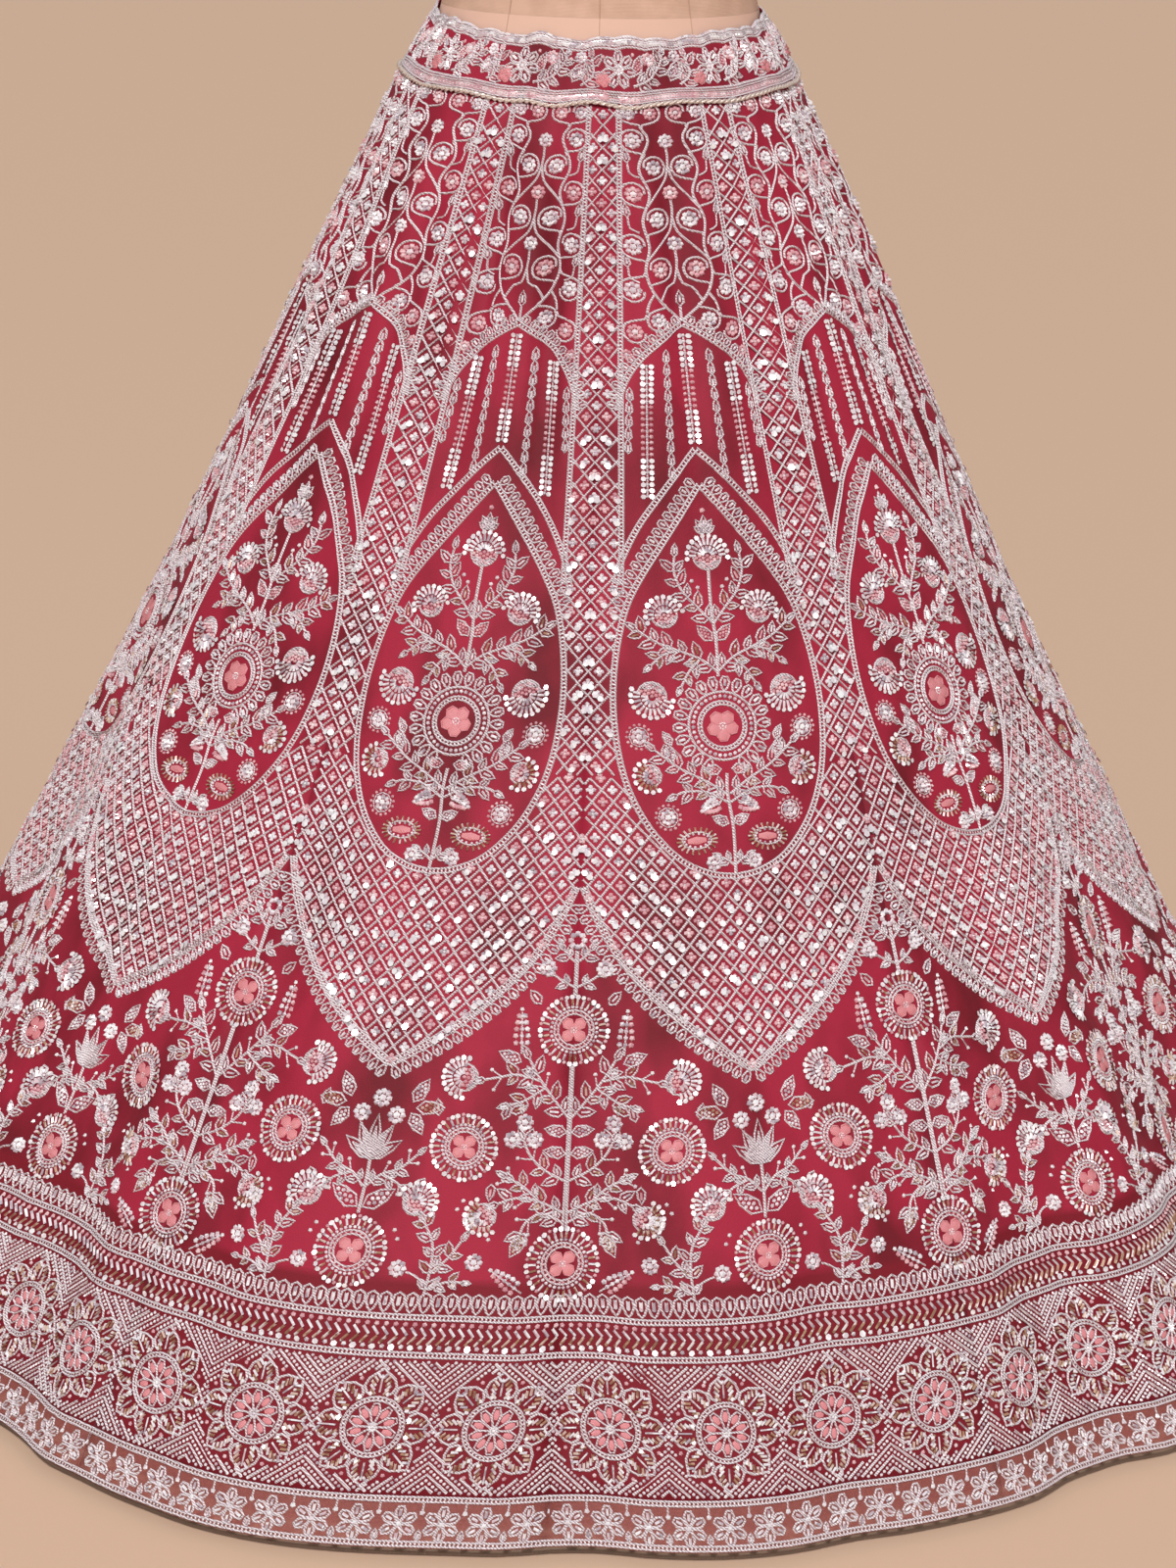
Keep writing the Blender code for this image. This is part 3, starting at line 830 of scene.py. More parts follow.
def leaf_path(place, turn, length, width):
    """The closed outline of a pointed leaf."""
    half = np.array(LEAF_OUTLINE)
    whole = np.vstack([half, half[-2:0:-1] * [1.0, -1.0]])
    return along_turn(place, turn, whole[:, 0] * length, whole[:, 1] * width)


def leaf(panel, place, turn, length, width, fill="bead"):
    """A pointed leaf outlined in cord round one bugle, or for "drop" a stalk and a bead."""
    if fill == "drop":
        cord(panel, along_turn(place, turn, [0.0, length * 0.7], [0.0, 0.0]), 1.2, 0.8)
        beads(panel, along_turn(place, turn, [length * 0.85], [0.0]), 1.6, "sequin")
        return
    cord(panel, leaf_path(place, turn, length, width), 1.55, 1.2, closed=True)
    if fill:
        bugles(panel, [along_turn(place, turn, length * 0.50, 0.0)], turn, length * 0.46, 1.6, fill)


# Nine beads in a broad leaf: shares of its length, and counts of its bead rows
LEAF_BEADS = np.array([
    # along, rows across
    (0.20, 0), (0.34, -1), (0.34, 1), (0.48, 0), (0.50, -2), (0.50, 2), (0.62, -1), (0.62, 1), (0.76, 0),
])


def bead_leaf(panel, place, turn, length, width, finish="bead"):
    """A broad leaf packed with single beads inside its cord."""
    cord(panel, leaf_path(place, turn, length, width), 1.6, 1.0, closed=True)
    spots = along_turn(place, turn, LEAF_BEADS[:, 0] * length, LEAF_BEADS[:, 1] * width * 0.15)
    beads(panel, spots, width * 0.145, finish)


def bead_leaves(panel, rows):
    """A broad leaf for each row of a table of (place, turn, length, width, finish)."""
    for place, turn, length, width, finish in rows:
        bead_leaf(panel, place, turn, length, width, finish)


LEAF_LEAN, LARGE_LEAF, SMALL_LEAF = 46.0, 1.26, 1.02


def branch(panel, controls, leaf_length, gap, first, fills):
    """A stem of cord with pairs of leaves, the larger one on each side in turn, and one at its end."""
    path = smooth_path(controls, 4.5)
    cord(panel, path)
    run = distances(path)
    larger = LEAF_LEAN
    for number, distance in enumerate(np.arange(first, run[-1] - 2.0, gap * 1.12)):
        place = at_distance(run, path, distance)
        ahead = at_distance(run, path, distance + 1.0) - place
        turn = degrees(atan2(ahead[1], ahead[0]))
        for lean in (LEAF_LEAN, -LEAF_LEAN):
            size = leaf_length * (LARGE_LEAF if lean == larger else SMALL_LEAF)
            leaf(panel, place, turn + lean, size, size * 0.52, fills[number % len(fills)])
        larger = -larger
    last = path[-1] - path[-2]
    leaf(panel, path[-1], degrees(atan2(last[1], last[0])), leaf_length, leaf_length * 0.46, fills[0])


def branches(panel, stems, fills, larger=1.12):
    """A branch for each row of a table of (points, leaf_length, gap)."""
    for controls, leaf_length, gap in stems:
        branch(panel, controls, larger * leaf_length, gap, 5.0, fills)


def bent_cord(panel, controls, width=1.9, height=1.1, step=4.0):
    """Cord along a smooth curve through given points."""
    cord(panel, smooth_path(controls, step), width, height)


def report(step):
    """Say how many triangles the flat work has so far."""
    parts = [len(part) for panel in (side_work, centre_work, seam_work, row_work)
             for shapes in panel.corners.values() for part in shapes]
    print("flat work after", step + ":", sum(parts), "triangles")


# %% [markdown]
# Flowers of the work, each a small function: rings of beads, petals and fans. They are the common
# flowers of this kind of embroidery, worked out here from a centre, a radius and a few counts.

# %% Flowers
def rosette(panel, centre, radius, finish="bead", start=0.0, end=360.0):
    """A small round of beads about a raised one."""
    whole = abs(end - start) > 359.0
    spots = ring_places(centre, radius * 0.70, 8 if whole else 5, start, end)[0]
    beads(panel, spots, radius * 0.34, finish)
    if whole:
        beads(panel, [centre], radius * 0.42, "sequin")


def dotted_rosette(panel, centre, radius):
    """A bead flower with a ring of separate small beads round it."""
    rosette(panel, centre, radius * 0.66)
    beads(panel, ring_places(centre, radius * 0.98, 15)[0], 1.25, "rose")
    cord(panel, arc_path(centre, radius * 0.78, step=5.0), 1.0, 0.7, closed=True)


def ring_of_bugles(panel, centre, radius, length, count, start=0.0, end=360.0):
    """Bugles that point outwards, gold and silver in turn."""
    places, turns = ring_places(centre, radius, count, start, end)
    bugles(panel, places[0::2], turns[0::2], length, 1.7, "bugle")
    bugles(panel, places[1::2], turns[1::2], length, 1.7, "bead")


def silk_flower(panel, centre, radius, petals, start=0.0, end=360.0):
    """Satin-stitched petals in pink round a beaded heart."""
    places, turns = ring_places(centre, radius * 0.56, petals, start, end)
    stamp(panel, "leaf", "silk", places, (radius * 0.46, radius * 0.44, 2.1), turns, 1.05)
    for place, turn in zip(places, turns):
        inner = np.asarray(centre) + (place - centre) * 0.16
        cord(panel, petal_path(inner, turn, radius * 0.98, radius * 0.90), 1.1, 1.0, "silk", True)
    rosette(panel, centre, radius * 0.30, "sequin")


def medallion(panel, centre, radius, start=0.0, end=360.0):
    """A round medallion: silk heart, braid ring, beads, bugles and a rim of sequins."""
    share = abs(end - start) / 360.0
    whole = share > 0.99
    if whole:
        silk_flower(panel, centre, radius * 0.385, 4, start + 45.0, end + 45.0)
    else:
        silk_flower(panel, centre, radius * 0.385, 2, start + 45.0, end - 45.0)
    for ring in (0.47, 0.58):
        cord(panel, arc_path(centre, radius * ring, start, end, 4.5), 1.5, 1.0, closed=whole)
    inset = 0.0 if whole else 5.0
    first, last = start + inset, end - inset
    beads(panel, ring_places(centre, radius * 0.525, round(22 * share), first, last)[0], 1.0, "rose")
    beads(panel, ring_places(centre, radius * 0.67, round(32 * share), first, last)[0], 1.35, "bead")
    ring_of_bugles(panel, centre, radius * 0.83, radius * 0.20, round(30 * share), first, last)
    spots = ring_places(centre, radius * 0.985, round(38 * share), first, last)[0]
    sequins(panel, spots[0::3], 1.9)
    sequins(panel, spots[1::3], 1.7)
    beads(panel, spots[2::3], 1.5, "rose")


def packed_disc(radius, pitch):
    """Close-packed places inside a circle about the origin."""
    rows = np.arange(-ceil(radius / pitch) - 1, ceil(radius / pitch) + 2)
    columns, rows = np.meshgrid(rows, rows)
    along = (columns + 0.5 * (rows % 2)).ravel() * pitch
    spots = np.stack([along, rows.ravel() * pitch * 0.87], axis=1)
    return spots[np.hypot(*spots.T) <= radius]


def cup_flower(panel, centre, turn, radius, crown="bead"):
    """A carnation, open towards turn: rose beads, two rows of fanned bugles and a frill of sequins."""
    spots = packed_disc(radius * 0.60, 3.1)
    spots = spots[spots[:, 0] < radius * 0.04]
    beads(panel, along_turn(centre, turn, spots[:, 0], spots[:, 1]), 1.6, "rose")
    places, turns = ring_places(centre, radius * 0.36, round(radius * 0.50), turn - 74.0, turn + 74.0)
    bugles(panel, places, turns, radius * 0.34, 2.1, "bead")
    places, turns = ring_places(centre, radius * 0.76, round(radius * 0.86), turn - 88.0, turn + 88.0)
    bugles(panel, places, turns, radius * 0.36, 2.0, crown)
    frill = ring_places(centre, radius * 1.04, round(radius * 0.86), turn - 96.0, turn + 96.0)[0]
    sequins(panel, frill, 1.9)
    cord(panel, arc_path(centre, radius * 0.72, turn + 92.0, turn + 268.0, 4.5), 1.5, 1.0)
    back = along_turn(centre, turn, -radius * 0.62, 0.0)
    for lean in (58.0, -58.0):
        leaf(panel, back, turn + lean, radius * 0.66, 3.8)


def oval_places(centre, length, width, turn, count):
    """Places round an oval and their outward turns."""
    share = np.linspace(0.0, 2.0 * pi, count, endpoint=False)
    along, across = length / 2.0 * np.cos(share), width / 2.0 * np.sin(share)
    turns = np.degrees(np.arctan2(across * length / width, along)) + turn
    return along_turn(centre, turn, along, across), turns


def eye_flower(panel, centre, length, width, turn=0.0):
    """A lens-shaped flower: pink silk, a bead ring and radiating bugles."""
    stamp(panel, "leaf", "silk", [centre], (length * 0.27, width * 0.16, 2.2), turn, 1.1)
    beads(panel, oval_places(centre, length * 0.62, width * 0.52, turn, 14)[0], 1.05)
    places, turns = oval_places(centre, length * 0.88, width * 0.86, turn, 20)
    bugles(panel, places, turns, 4.2, 1.5, "bugle")
    cord(panel, oval_places(centre, length * 0.74, width * 0.68, turn, 12)[0], 1.3, 0.9, closed=True)


def berries(panel, base, turn, length):
    """A sprig of beads, wider at its foot."""
    cord(panel, along_turn(base, turn, [0.0, length * 0.5, length], [0.0, 0.0, 0.0]), 1.3, 0.9)
    share = np.array([0.25, 0.42, 0.58, 0.74, 0.90])
    spread = np.array([4.0, 4.3, 3.8, 3.0, 2.1])
    left = along_turn(base, turn, share * length, spread)
    right = along_turn(base, turn, share * length, -spread)
    beads(panel, left, 2.1, "rose")
    beads(panel, right, 2.1, "bead")
    beads(panel, along_turn(base, turn, share * length, 0.0 * share), 1.7, "bead")
    beads(panel, along_turn(base, turn, [length * 1.06], [0.0]), 1.7, "sequin")


# %% [markdown]
# The layout of one gore, in millimetres down from the waistband and across from the centre line.
# A gore is the same on both sides of its centre line, so only its right half is stitched here,
# and mirrored. What sits on the line is stitched whole, and what sits on a seam is stitched as
# half, measured away from the seam.

# %% Named places on a gore
SKIRT_LENGTH = 1036
PANEL_ANGLE = 32.5
STRIPE_AT_WAIST, STRIPE_AT_TEAR = 11, 19       # half the width of the lattice stripe on a seam
ARCH_TIP, OUTER_TIP, TEAR_TIP, TEAR_MEETS = 170, 264, 290, 364
TEAR_BOTTOM, LEAF_START, LEAF_BOTTOM = 574, 581, 713
TEAR_PETALS_END, LEAF_PETALS_START = 392, 590
LOOP_ROW, BRAID_ONE, HERRING_ROW, BRAID_TWO = 878, 880.5, 893, 906
ROSETTE_ROW, BRAID_THREE, NET_FLOWERS, HEM_BRAID = 955.5, 1003, 1019.5, 1033
LATTICE, LATTICE_DOWN, LATTICE_CORD = 15, 17, 1.7      # width and height of a cell, and its cord
SEAM_LATTICE_ENDS = 500                        # lattice is counted from the seam above, else the centre
TEAR_WIDEST, TEAR_OVERLAP = 455, 15            # where the teardrop is read as two lines, one each way

ARCH = [(0, ARCH_TIP), (9, 175), (18, 181), (31, 191.5), (43, 206), (50.5, 221), (54, 234)]
OUTER = [(0, OUTER_TIP), (12, 276), (30, 297), (48, 320), (62, 345), (68.5, 364)]
TEAR = [(0, TEAR_TIP), (14, 308), (33, 334), (50, 358), (62, 380), (71, 410), (76, 440), (77, 466),
        (75, 492), (69, 516), (57, 540), (38, 561), (18, 571), (0, TEAR_BOTTOM)]
LEAF_EDGE = [(111.5, LEAF_START), (103.5, 604), (91.5, 629), (75, 651), (56, 671), (34.5, 689.5),
             (13.5, 704.5), (0, LEAF_BOTTOM)]


def half_panel(down):
    """Half the width of a gore, in millimetres, at a distance down."""
    return 1000 * skirt_half_width(down / SKIRT_LENGTH) * radians(PANEL_ANGLE / 2)


def stripe_edge(down):
    """Where the ladder braid along the seam's lattice stripe runs."""
    share = np.minimum(down / TEAR_TIP, 1.25)
    return half_panel(down) - (STRIPE_AT_WAIST + (STRIPE_AT_TEAR - STRIPE_AT_WAIST) * share)


def read_off(path, value, along, read):
    """Read one coordinate of a path where the other has a value."""
    path = np.asarray(path)
    order = np.argsort(path[:, along])
    return np.interp(value, path[order, along], path[order, read])


arch_line = smooth_path(ARCH, 5)
outer_line = smooth_path(OUTER, 5)
tear_line = smooth_path(TEAR, 5)
leaf_line = smooth_path(LEAF_EDGE, 5)
print("half a gore is", round(float(half_panel(0))), "mm at the waist and",
      round(float(half_panel(SKIRT_LENGTH))), "mm at the hem")

side_work, centre_work, seam_work, row_work = Panel(), Panel(), Panel(), Panel()

# %% [markdown]
# A lattice of crossed cords fills the stripe on each seam, widens round the teardrop and ends in
# the pointed leaf below it. Each cord is a slanting line that is cut where the field ends, so the
# same two functions fill every part of it. Each crossing's cell holds four beads round a bright
# one, and many cells have a loose sequin on top.

# %% Lattice of crossed cords with bead flowers
def lattice_inner(down):
    """The inner edge of the lattice: the stripe's braid, then the teardrop, then nothing."""
    upper = tear_line[tear_line[:, 1] <= TEAR_WIDEST + TEAR_OVERLAP]
    lower = tear_line[tear_line[:, 1] > TEAR_WIDEST - TEAR_OVERLAP]
    tear = np.where(down < TEAR_WIDEST, read_off(upper, down, 1, 0), read_off(lower, down, 1, 0))
    edge = np.where(down < TEAR_MEETS, stripe_edge(down), tear)
    return np.where(down > TEAR_BOTTOM, -50, edge)


def in_lattice(across, down, margin, seam_margin):
    """Whether places lie in the lattice, clear of its edges."""
    leaf_edge = np.where(down < LEAF_START, half_panel(down) - seam_margin,
                         read_off(leaf_line, down, 1, 0) - margin)
    return ((down > 3) & (down < LEAF_BOTTOM - margin) & (across > -1e-6)
            & (across > lattice_inner(down) + margin) & (across < leaf_edge))


def split_runs(inside):
    """Index runs of neighbouring places that lie inside."""
    runs = np.split(np.arange(len(inside)), np.flatnonzero(np.diff(inside.astype(int))) + 1)
    return [run for run in runs if len(run) > 1 and inside[run[0]]]


ALL_PETALS, PETALS_OFF_THE_SEAM = (0, 1, 2, 3), (1, 2, 3)
PETAL_OFFSETS = ((2.15, 0), (0, 2.15), (-2.15, 0), (0, -2.15))
SILVER_SHARE = 0.60

# Flowers whose chance number lies between two limits carry a loose sequin at an offset
LOOSE_SEQUINS = [
    # low, high, offset
    (0.08, 0.42, (-1.4, 1.7)), (0.26, 0.46, (2, -1.3)), (0.80, 1, (-1.6, 2)),
]


def lattice_flowers(spots, panel, keep_petals):
    """A flower of four petals at each place: silver or rose beads, and often loose sequins."""
    kinds = chance.random(len(spots))
    silver, rose = spots[kinds < SILVER_SHARE], spots[kinds >= SILVER_SHARE]
    for number, offset in enumerate(PETAL_OFFSETS):
        if number in keep_petals:
            beads(panel, silver + offset, 1.75)
            beads(panel, rose + offset, 1.75, "rose")
    beads(panel, spots, 1.1, "sequin")
    for low, high, offset in LOOSE_SEQUINS:
        picked = spots[(kinds > low) & (kinds < high)]
        if len(picked):
            sequins(panel, picked + offset, 2.45, 2.5)


def fill_seam(spots, first):
    """Flowers on the seam wherever the lattice that is counted from the centre leaves it bare."""
    for level in np.arange(first + 9, LEAF_START - 8, LATTICE_DOWN * 0.7):
        edge = float(half_panel(level))
        near = (np.abs(spots[:, 1] - level) < 7.5) & (edge - spots[:, 0] < 8.5)
        if not np.any(near):
            lattice_flowers(np.array([[edge - 0.4, level]]), side_work, PETALS_OFF_THE_SEAM)


def stitch_lattice(first, last, from_seam):
    """Two families of slanting cords and their flowers, counted from the seam or the centre."""
    reach = int(LEAF_BOTTOM / LATTICE_DOWN) + 14
    for slope in (1, -1):
        for number in range(-reach, 2 * reach):
            count = np.arange(0, 140, LATTICE / 8)
            down = number * LATTICE_DOWN + slope * count * LATTICE_DOWN / LATTICE
            across = half_panel(down) - count if from_seam else count
            inside = in_lattice(across, down, 0.5, -0.1) & (down >= first) & (down <= last)
            for run in split_runs(inside):
                picked = run[np.linspace(0, len(run) - 1, max(2, len(run) // 7 + 1)).astype(int)]
                cord(side_work, np.stack([across[picked], down[picked]], axis=1), LATTICE_CORD)
    rows, columns = np.meshgrid(np.arange(0, 2 * reach), np.arange(0, 24))
    count = (columns * 0.5 * LATTICE).ravel()
    down = ((rows + 0.5 + 0.5 * (columns % 2)) * LATTICE_DOWN).ravel()
    across = half_panel(down) - count if from_seam else count
    good = in_lattice(across, down, 4, -0.1 if from_seam else 2.6) & (down >= first) & (down < last)
    spots, count = np.stack([across, down], axis=1)[good], count[good]
    lattice_flowers(spots[count > 1], side_work, ALL_PETALS)
    if from_seam:
        lattice_flowers(spots[count <= 1] - [0.4, 0], side_work, PETALS_OFF_THE_SEAM)
    else:
        lattice_flowers(spots[count <= 1], centre_work, ALL_PETALS)
        fill_seam(spots, first)
    print("lattice flowers on half a gore:", len(spots))


stitch_lattice(3, SEAM_LATTICE_ENDS, True)
stitch_lattice(SEAM_LATTICE_ENDS, LEAF_BOTTOM, False)

# %% [markdown]
# Ladder braid outlines every field. Looped petals stand on the arch, the teardrop's tip and the
# leaf. They are spaced along the same smooth lines as the braid, so they follow each bend.

# %% Braid outlines: stripe, arch, teardrop and leaf
stripe_down = np.arange(2, TEAR_MEETS + 4, 6)
ladder(side_work, np.stack([stripe_edge(stripe_down), stripe_down], axis=1))
for line in (arch_line, outer_line, tear_line):
    ladder(side_work, line, 4.8)
leaf_braid = leaf_line - np.minimum(leaf_line[:, :1], 3) * [0.9, 0] - [0, 2.4]
ladder(side_work, leaf_braid, 6.2)
cord(side_work, leaf_braid, 1.2, 1)
petals_along(side_work, arch_line, 7.4, 8.4, 6)
petals_along(side_work, tear_line[tear_line[:, 1] < TEAR_PETALS_END] + [1.4, -1.4], 7.6, 9, 6.4)
petals_along(side_work, leaf_line[leaf_line[:, 1] > LEAF_PETALS_START] - [0.6, 0.6], 7.6, 9.4, 6.4)
report("the braids")

# %% [markdown]
# Above the arch, a stem winds up each half of the gore and throws a curl round each rosette. The
# curl's shape is one short table, used to the left or right of the stem and rising or hanging.

# %% Vines and rosettes above the arch
VINE_CORD, CURL_ROOT = 1.8, 1.62               # the root lies this many curl radii from the heart
VINE_STEM = [(17.6, 19), (13.2, 29), (21.9, 50), (16.2, 70), (22.9, 90), (20.2, 110),
             (24.4, 128), (21, 143), (13.5, 154.5), (6, 162), (0.8, 168)]
SIDE_STEM = [(20, 146), (24.5, 153), (26.5, 160)]

VINE_ROSETTES = [
    # across, down, side of the stem, rising 1 or hanging -1, radius of the curl, finish
    (25.2, 8, 1, 1, 7.2, "bead"), (9.6, 8.2, -1, 1, 7.2, "rose"), (24.2, 29, 1, 1, 8.5, "bead"),
    (11, 50, -1, 1, 8.5, "bead"), (27.4, 70, 1, 1, 8.7, "rose"), (12, 90, -1, 1, 8.7, "bead"),
    (31.4, 110, 1, 1, 8.9, "bead"), (13.2, 128, -1, 1, 8.9, "rose"), (34.6, 143, 1, -1, 8.9, "bead"),
    (18.6, 166, 1, -1, 8, "bead"), (36, 174.5, 1, -1, 8.2, "rose"),
]

# From below the rosette, round its far side and back over it, as shares of the curl's radius
CURL_SHAPE = [
    # away from the stem, down
    (-0.92, 1.22), (-0.12, 1.05), (0.74, 0.70), (1.00, -0.08), (0.62, -0.80), (-0.16, -1.00),
    (-0.78, -0.62), (-0.86, -0.08),
]


def curl(panel, heart, way, rise, radius, stem):
    """A tendril that leaves a stem and winds once round a rosette."""
    level = heart[1] + rise * radius * CURL_ROOT
    root = (float(read_off(stem, level, 1, 0)), level)
    around = [(heart[0] + way * radius * out, heart[1] + rise * radius * down)
              for out, down in CURL_SHAPE]
    bent_cord(panel, [root, *around], VINE_CORD, step=4.4)


vine_stem = smooth_path(VINE_STEM, 4)
cord(side_work, vine_stem, 2.1, 1.2)
bent_cord(side_work, SIDE_STEM)
for x, down, way, rise, radius, finish in VINE_ROSETTES:
    stem = np.array(SIDE_STEM) if down > 170 else vine_stem
    curl(side_work, (x, down), way, rise, radius, stem)
    rosette(side_work, (x, down), radius * 0.73, finish)
rosette(side_work, (43.6, 192), 4.2, "rose")
for down in (46, 88, 126):
    bud = (float(stripe_edge(down)) - 5.5, down)
    bent_cord(side_work, [(bud[0] - 7, down + 11), (bud[0] - 1, down + 8), bud], 1.5)
    leaf(side_work, bud, -84, 10.5, 4.8)
for down, finish, reach in ((30, "bead", 51), (70, "rose", 51), (109, "bead", 43)):
    rosette(centre_work, (0, down), 5.8, finish)
    cord(centre_work, [(0, down + 5), (0.5, down + 12), (0, down + 19)], VINE_CORD)
    root = (float(read_off(vine_stem, down + reach, 1, 0)), down + reach)
    to_root = [(0, down + 19), (3, down + 30), (root[0] * 0.6, root[1] - 10), root]
    bent_cord(side_work, to_root, VINE_CORD, step=4.4)
leaf(centre_work, (0, ARCH_TIP - 13), -90, 12, 5.6)
cord(centre_work, [(0, ARCH_TIP - 2), (0, ARCH_TIP - 13)], 2)
report("the vines")

# %% [markdown]
# Under the arch hang rows of beads that fan out a little. By turns a row is a fern, a thin cord
# between two lines of sequins with pink beads in the middle, or a chain of looped petals.

# %% Bead rows under the arch
ROW_TOP_GAP, ROW_FOOT_GAP = 9, 5
FERN_SPACING, CHAIN_SPACING = 4.4, 9.6
ROW_FAN = 0.0028                               # how far a row fans out, a share for each millimetre
ROWS_ACROSS = (15.5, 30.5, 44)


def stitch_row(panel, across, row_number):
    """A fern of beads or a chain of loops, fanning out from the arch to the teardrop."""
    top = ROW_TOP_GAP + float(read_off(arch_line, across, 0, 1))
    foot = float(read_off(outer_line, across * 1.16, 0, 1)) - ROW_FOOT_GAP
    is_fern = row_number % 2 == 0
    down = np.arange(top, foot, FERN_SPACING if is_fern else CHAIN_SPACING)
    place = across * (1 + ROW_FAN * (down - top))
    keep = place < stripe_edge(down) - 4.6
    spots = np.stack([place, down], axis=1)[keep]
    if not is_fern:
        for spot in spots:
            petal(panel, spot, 86, 10.4, 5, 1.5, "bead", 6)
        return
    share = np.linspace(0, 1, len(spots))
    pink = np.abs(share - 0.5) < 0.22
    cord(panel, spots[:: max(1, len(spots) // 8)], 1.3, 0.9)
    for offset in (-3, 3):
        sequins(panel, spots[~pink] + [offset, 0], 2)
        beads(panel, spots[pink] + [offset, 0], 1.7, "rose")
    beads(panel, spots, 1.25, "bead")


stitch_row(centre_work, 0, 0)
for row_number, across in enumerate(ROWS_ACROSS, start=1):
    stitch_row(side_work, across, row_number)
report("the bead rows")

# %% [markdown]
# The teardrop holds a flowering tree: a big round flower in the middle, leafy stems that curl up and
# out on both sides, carnations, rosettes, and a long "eye" flower near the foot. Its trunk is
# stitched whole on the centre line, and its stems once, because they are mirrored later.

# %% The tree in the teardrop
HEART = (0, 466)
HEART_SILK, HEART_BRAID, HEART_BEADS, HEART_RING, HEART_PETALS = 10.8, 16.6, 21.4, 24.6, 25.4
TRUNK_CORD, TRUNK_HEIGHT = 2.4, 1.3
silk_flower(centre_work, HEART, HEART_SILK, 5, 18, 378)
ladder(centre_work, arc_path(HEART, HEART_BRAID), 4, closed=True)
beads(centre_work, ring_places(HEART, HEART_BEADS, 36)[0], 1.6, "bead")
cord(centre_work, arc_path(HEART, HEART_RING), closed=True)
for place, turn in zip(*ring_places(HEART, HEART_PETALS, 22)):
    if not 70 <= turn <= 110:                  # the trunk needs room below
        petal(centre_work, place, turn, 10.6, 7.2, 1.7)
for trunk in ([(0, 572), (1.2, 540), (-0.8, 515), (0, 500)],
              [(0, 430), (0.8, 405), (-0.6, 380), (0, 351)]):
    bent_cord(centre_work, trunk, TRUNK_CORD, TRUNK_HEIGHT, 5)
cup_flower(centre_work, (0, 342), -90, 14.5)
for turn, length in ((-150, 8.5), (-122, 11), (-90, 12.5), (-58, 11), (-30, 8.5)):
    leaf(centre_work, (0, 325), turn, length, 5.2)
beads(centre_work, [(0, 309)], 2.1, "rose")
beads(side_work, [(13, 360), (9, 365)], 1.7, "sequin")

# Stems of the right half: their listed points, from root to tip
TREE_STEMS = [
    # points, leaf_length, gap
    ([(0, 392), (10, 380), (20, 368), (25, 354), (24, 342)], 9, 9.6),
    ([(0, 427), (12, 417), (28, 410), (42, 404), (55, 395)], 9.4, 9.8),
    ([(26, 410), (38, 413), (47, 420)], 7.6, 9),
    ([(12, 417), (21, 426), (27, 436)], 7.6, 9),
    ([(1, 515), (16, 505), (34, 495), (50, 482)], 9, 10),
    ([(1, 521), (16, 513), (31, 512), (37, 514)], 8.4, 10),
    ([(0, 566), (5, 562), (9, 560)], 6.6, 5),
]
branches(side_work, TREE_STEMS, ("bead", "bugle", "dori", "rose"))
cup_flower(side_work, (49, 443), 72, 14.5)
cup_flower(side_work, (35, 384), -72, 13)
dotted_rosette(side_work, (60.5, 472), 9)
dotted_rosette(side_work, (45, 530), 9)
cup_flower(side_work, (55, 500), 22, 11, "bugle")
eye_flower(side_work, (26, 547), 29, 18, 4)
rosette(side_work, (15, 563.5), 5.8)
berries(side_work, (6, 520), 24, 15)
bead_leaves(side_work, [
    # place, turn, length, width, finish
    ((2, 536), -25, 12.5, 7.4, "bead"), ((4, 497), 4, 13, 7.4, "rose"),
    ((38, 490), -76, 13.5, 7.2, "bead"), ((2, 404), -48, 15, 8.4, "rose"),
    ((38, 478), -60, 11, 5.8, "bead"),
])
report("the tree in the teardrop")

# %% [markdown]
# Under the lattice a second garden runs round the skirt: a tree with two medallions on each seam
# and a plant with one medallion on each centre line, with round flowers and sprigs between them.
# The seam tree is stitched as half a tree, away from the seam, so both gores complete it.

# %% The tree on the seam
bent_cord(seam_work, [(0.7, 624), (0.7, 656)], 1.7, 1.2, 6)
bent_cord(seam_work, [(0.8, 704), (0.8, 740), (0.9, 780), (1.3, 820)], 2, 1.4, 6)
rosette(seam_work, (0, 617), 6.8, "bead", -90, 90)
medallion(seam_work, (0, 680), 24, -90, 90)
medallion(seam_work, (0, 843), 25, -90, 90)
SEAM_STEMS = [
    # points, leaf_length, gap
    ([(1, 632), (6, 628), (9, 624)], 7.5, 30),
    ([(1, 650), (9, 646), (15, 642)], 6.5, 30),
    ([(1, 742), (14, 726), (24, 712), (30, 701)], 9.8, 10),
    ([(22, 716), (38, 712), (50, 714), (60, 716)], 8.8, 10),
    ([(18, 721), (32, 730), (42, 733)], 8.4, 9.6),
    ([(1, 786), (16, 778), (26, 768), (31, 758)], 9, 10.2),
    ([(1, 808), (20, 799), (34, 797), (46, 801)], 8.8, 10),
    ([(1, 815), (16, 808), (27, 814), (31, 824)], 8.4, 9.6),
    ([(18, 800), (30, 789), (41, 783)], 8.2, 9.4),
]
branches(seam_work, SEAM_STEMS, ("bead", "bugle", "drop"))
for down in (752, 767):
    bead_leaf(seam_work, (2, down), -10, 15.5, 8.4)
rosette(seam_work, (20, 637), 6.4)
leaf(seam_work, (24, 662), -50, 12, 7)
berries(seam_work, (36, 697), -88, 29)
bead_leaf(seam_work, (36, 703), -24, 17, 9)
cup_flower(seam_work, (75, 715), -8, 13.5)
medallion(seam_work, (72, 763), 22.5)
for place in ((31, 745), (23.5, 757), (39, 757)):
    rosette(seam_work, place, 6.2)
cup_flower(seam_work, (56, 810), 28, 12, "bugle")
